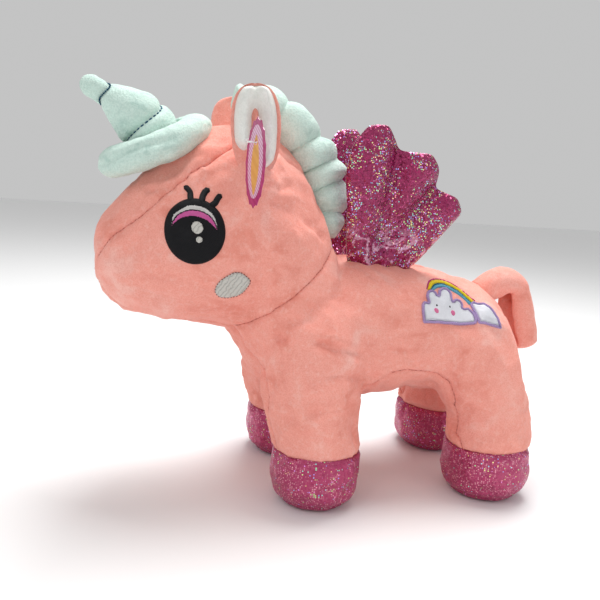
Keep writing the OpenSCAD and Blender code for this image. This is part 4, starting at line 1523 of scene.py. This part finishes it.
class UNICORN_OT_haunches(bpy.types.Operator):
    """Stitch a cloud with a rainbow on both haunches"""
    bl_idname = "unicorn.haunches"
    bl_label = "Haunch Patches"

    def execute(self, context):
        white = thread("cloud_thread", (0.78, 0.79, 0.84, 1), (0, 0.2, 1), 1700.0, 0.12, 0.5)
        lilac = thread("lilac_thread", colour("lilac"), (0, 0.9, 0.5), 1500.0, 0.35)
        black, blush = black_thread(), thread("blush_thread", (0.75, 0.16, 0.34, 1), (0, 0, 1), 1700.0, 0.3)
        bands = ((0.0, 0.15, "pink", (0.62, 0.06, 0.25, 1)), (0.15, 0.55, "yellow", (0.90, 0.66, 0.02, 1)),
                 (0.55, 0.68, "teal", (0.02, 0.17, 0.26, 1)), (0.68, 1.0, "blue", (0.14, 0.45, 0.60, 1)))
        for name, side in SIDES.items():
            aim = haunch_aim(side)
            clouds = (("back_cloud", BACK_CLOUD, 0.0), ("front_cloud", CLOUD, 0.45))
            for label, shape, lift in clouds:
                outline = rounded_outline(list(shape), 0.8, 2)
                inner = offset_outline(outline, 1.5)
                fill = patch(f"{name}_{label}_fill", [inner], aim, white, 0.55, lift, 0.9, 0.8)
                border = patch(f"{name}_{label}_border", [outline, inner], aim, lilac, 0.95, lift, 0.55, 0.75)
                nodes = [f"{name}_cloud_patch"] if label == "front_cloud" else []
                belongs(fill, "body", "white_thread", nodes)
                belongs(border, "body", "white_thread")
            for low, high, label, tone in bands:
                cloth = thread(f"rainbow_{label}_thread", tone, (0, 1, 0.3), 1500.0, 0.3)
                stripe = between(RAINBOW_OUTER, RAINBOW_INNER, low, high)
                band = patch(f"{name}_rainbow_{label}", [stripe], aim, cloth, 0.7, 0.0, 0.7, 0.7)
                nodes = [f"{name}_rainbow_patch"] if label == "yellow" else []
                belongs(band, "body", "rainbow_thread", nodes)
            for k, u in enumerate((-7.4, 1.6)):
                eye = round_shape(u, 2.4, 0.75, 0.75, 14)
                cheek = round_shape(-8.6 + 12.2 * k, -1.4, 1.7, 1.9, 20)
                dot = patch(f"{name}_cloud_dot_{k + 1}", [eye], aim, black, 0.4, 0.9, 0.4)
                oval = patch(f"{name}_cloud_blush_{k + 1}", [cheek], aim, blush, 0.4, 0.9, 0.5)
                belongs(dot, "body", "black_thread")
                belongs(oval, "body", "pink_thread")
        return {"FINISHED"}


# ---------- swing tag ----------

TAG_HOLE = Vector((61.5, -65.84, 210))
TAG_NORMAL = Vector((0.25038, -0.96815, 0))
TAG_ACROSS = Vector((0.96815, 0.25038, 0))
TAG_WIDE, TAG_TALL, TAG_ABOVE_HOLE = 24.0, 47.0, 13.0
EAR_POINT = Vector((39, -70.84, 210))


def tag_point(u, v, out):
    """A point by mm across the card, mm above its middle, and mm in front of it."""
    middle = TAG_ABOVE_HOLE - TAG_TALL / 2
    return TAG_HOLE + TAG_ACROSS * u + Vector((0, 0, middle + v)) + TAG_NORMAL * out


def card_layer(name, outline, low, high, material):
    """A flat layer of the card, with the hole for the fastener."""
    hole = round_shape(0, TAG_TALL / 2 - TAG_ABOVE_HOLE, 1.3, 1.3, 20)
    outlines = [outline, hole] if inside_outline(hole[0], outline) else [outline]
    flat, triangles = flat_mesh(outlines, 2.0)
    skins = [[tag_point(p.x, p.y, out) for p in flat] for out in (high, low)]
    piece = add_object(name, *double_skin(skins, triangles), [material])
    piece.data.shade_flat()
    return piece


def card_material(name, first, second, pitch):
    """Printed card with fine slanted stripes."""
    material, tree, shader = start_material(name, 0.32, Coat_Weight=0.35, Coat_Roughness=0.15)
    if tree:
        place = node(tree, "ShaderNodeTexCoord").outputs["Object"]
        along = node(tree, "ShaderNodeVectorMath", {0: place, 1: (0.62, 0.0, 0.78)},
                     operation="DOT_PRODUCT").outputs["Value"]
        wave = maths(tree, "SINE", maths(tree, "MULTIPLY", along, 2 * pi * pitch))
        tree.links.new(blend_colour(tree, step_value(tree, wave, -0.2, 0.2), first, second),
                       shader.inputs["Base Color"])
    return material


class UNICORN_OT_tag(bpy.types.Operator):
    """Make the card swing tag and the plastic fastener that holds it on the ear"""
    bl_idname = "unicorn.tag"
    bl_label = "Swing Tag"

    def execute(self, context):
        scallop = []
        for k in range(144):
            a = k * 2 * pi / 144
            wave = 1 - 0.055 * abs(sin(8 * a))
            scallop.append(Vector((TAG_WIDE / 2 * wave * sin(a), TAG_TALL / 2 * wave * cos(a))))
        almond = [Vector((4.6 * sin(a) * (1 - 0.45 * cos(a) ** 2), -1 + 15.5 * cos(a)))
                  for a in (k * 2 * pi / 48 for k in range(48))]
        layers = (
            ("tag_card_sheet", scallop, -0.25, 0.12,
             ("tag_magenta", (0.40, 0.012, 0.14, 1), (0.46, 0.02, 0.18, 1), 300)),
            ("tag_striped_print", round_shape(0, 0.6, 8.9, 19.0, 72), 0.12, 0.19,
             ("tag_stripes", (0.78, 0.55, 0.68, 1), (0.62, 0.24, 0.44, 1), 620)),
            ("tag_yellow_print", almond, 0.19, 0.25,
             ("tag_yellow", (0.75, 0.36, 0.07, 1), (0.80, 0.41, 0.09, 1), 200)),
        )
        for name, outline, low, high, print_ in layers:
            layer = card_layer(name, outline, low, high, card_material(*print_))
            belongs(layer, "swing_tag", "card", ["tag_card"] if name == "tag_card_sheet" else [])
        front = TAG_HOLE + TAG_NORMAL * 4
        path = [front.lerp(TAG_HOLE - TAG_NORMAL * 3, k / 6) for k in range(7)]
        path += [(TAG_HOLE - TAG_NORMAL * 3).lerp(EAR_POINT, k / 20) + Vector((0, 0, 2.2 * sin(pi * k / 20)))
                 for k in range(1, 21)]
        bars = [[front + TAG_ACROSS * (k - 5) * 0.7 for k in range(11)],
                [EAR_POINT + Vector((0, (k - 5) * 0.7, 0)) for k in range(11)]]
        fastener = stitches("tag_plastic_fastener", [path, *bars], 0.6, [clear_plastic()])
        belongs(fastener, "left_ear", "clear_plastic", ["tag_fastener"])
        return {"FINISHED"}


# ---------- stage ----------

CAMERA_PLACE, CAMERA_TURN, CAMERA_LENS = Vector((0.427, -0.1353, 0.195)), (15.1, 10.1, 4.0), 42


def area_light(name, place, target, wide, power, tone=(1, 1, 1)):
    """A soft square light aimed at a point."""
    light = bpy.data.lights.new(name, "AREA")
    light.size = wide
    light.energy = power
    light.color = tone
    lamp = bpy.data.objects.new(name, light)
    lamp.location = place
    lamp.rotation_euler = (Vector(target) - Vector(place)).to_track_quat("-Z", "Y").to_euler()
    bpy.context.scene.collection.objects.link(lamp)
    return lamp


class UNICORN_OT_stage(bpy.types.Operator):
    """Set up the floor, the lights and the camera"""
    bl_idname = "unicorn.stage"
    bl_label = "Stage"

    def execute(self, context):
        scene = context.scene
        floor_material, tree, shader = start_material("floor_white", 0.6)
        if tree:
            shader.inputs["Base Color"].default_value = (0.9, 0.9, 0.9, 1)
        floor = add_object("floor", [Vector(p) for p in ((-3000, -3000, 0), (3000, -3000, 0),
                                                         (3000, 3000, 0), (-3000, 3000, 0))],
                           [(0, 1, 2, 3)], [floor_material], smooth_shade=False)
        lamps = [area_light("key_light", (0.55, -0.75, 0.95), (0, -0.05, 0.12), 0.6, 2.2),
                 area_light("fill_light", (0.9, 0.7, 0.6), (0, 0.05, 0.1), 0.8, 0.9),
                 area_light("top_light", (-0.25, 0.15, 1.1), (0, 0, 0.12), 0.6, 13.0)]
        world = bpy.data.worlds.new("studio")
        world.use_nodes = True
        world.node_tree.nodes["Background"].inputs["Color"].default_value = (1, 1, 1, 1)
        world.node_tree.nodes["Background"].inputs["Strength"].default_value = 0.55
        scene.world = world
        scene.view_settings.view_transform = "Standard"
        yaw, pitch, roll = (radians(angle) for angle in CAMERA_TURN)
        ahead = Vector((-cos(yaw) * cos(pitch), sin(yaw) * cos(pitch), -sin(pitch)))
        right = Vector((sin(yaw), cos(yaw), 0))
        up = right.cross(ahead)
        across = right * cos(roll) + up * sin(roll)
        above = up * cos(roll) - right * sin(roll)
        camera = bpy.data.objects.new("camera", bpy.data.cameras.new("camera"))
        camera.data.lens = CAMERA_LENS
        camera.data.sensor_width = 36
        camera.data.clip_start = 0.01
        camera.matrix_world = Matrix((across, above, -ahead)).transposed().to_4x4()
        camera.location = CAMERA_PLACE
        scene.collection.objects.link(camera)
        scene.camera = camera
        return {"FINISHED"}


# ---------- panel and start ----------

OPERATORS = (UNICORN_OT_body, UNICORN_OT_horn, UNICORN_OT_brim, UNICORN_OT_mane, UNICORN_OT_ears,
             UNICORN_OT_wings, UNICORN_OT_tail, UNICORN_OT_eyes, UNICORN_OT_cheeks, UNICORN_OT_haunches,
             UNICORN_OT_tag, UNICORN_OT_stage)


class UNICORN_PT_panel(bpy.types.Panel):
    """Settings and pieces of the unicorn"""
    bl_label = "Plush Unicorn"
    bl_idname = "UNICORN_PT_panel"
    bl_space_type = "VIEW_3D"
    bl_region_type = "UI"
    bl_category = "Unicorn"

    def draw(self, context):
        layout = self.layout
        for settings in (context.scene.unicorn_sizes, context.scene.unicorn_colours):
            column = layout.column()
            for key in settings.__annotations__:
                column.prop(settings, key)
        for operator in OPERATORS:
            layout.operator(operator.bl_idname)


CLASSES = (UNICORN_PG_sizes, UNICORN_PG_colours, *OPERATORS, UNICORN_PT_panel)


def register():
    """Adds the settings, operators and panel to Blender."""
    for cls in CLASSES:
        bpy.utils.register_class(cls)
    bpy.types.Scene.unicorn_sizes = bpy.props.PointerProperty(type=UNICORN_PG_sizes)
    bpy.types.Scene.unicorn_colours = bpy.props.PointerProperty(type=UNICORN_PG_colours)


def unregister():
    """Takes the settings, operators and panel away again."""
    del bpy.types.Scene.unicorn_colours
    del bpy.types.Scene.unicorn_sizes
    for cls in reversed(CLASSES):
        bpy.utils.unregister_class(cls)


def main():
    """Makes every piece and the stage."""
    register()
    for operator in OPERATORS:
        group, name = operator.bl_idname.split(".")
        getattr(getattr(bpy.ops, group), name)()


if __name__ == "__main__":
    main()
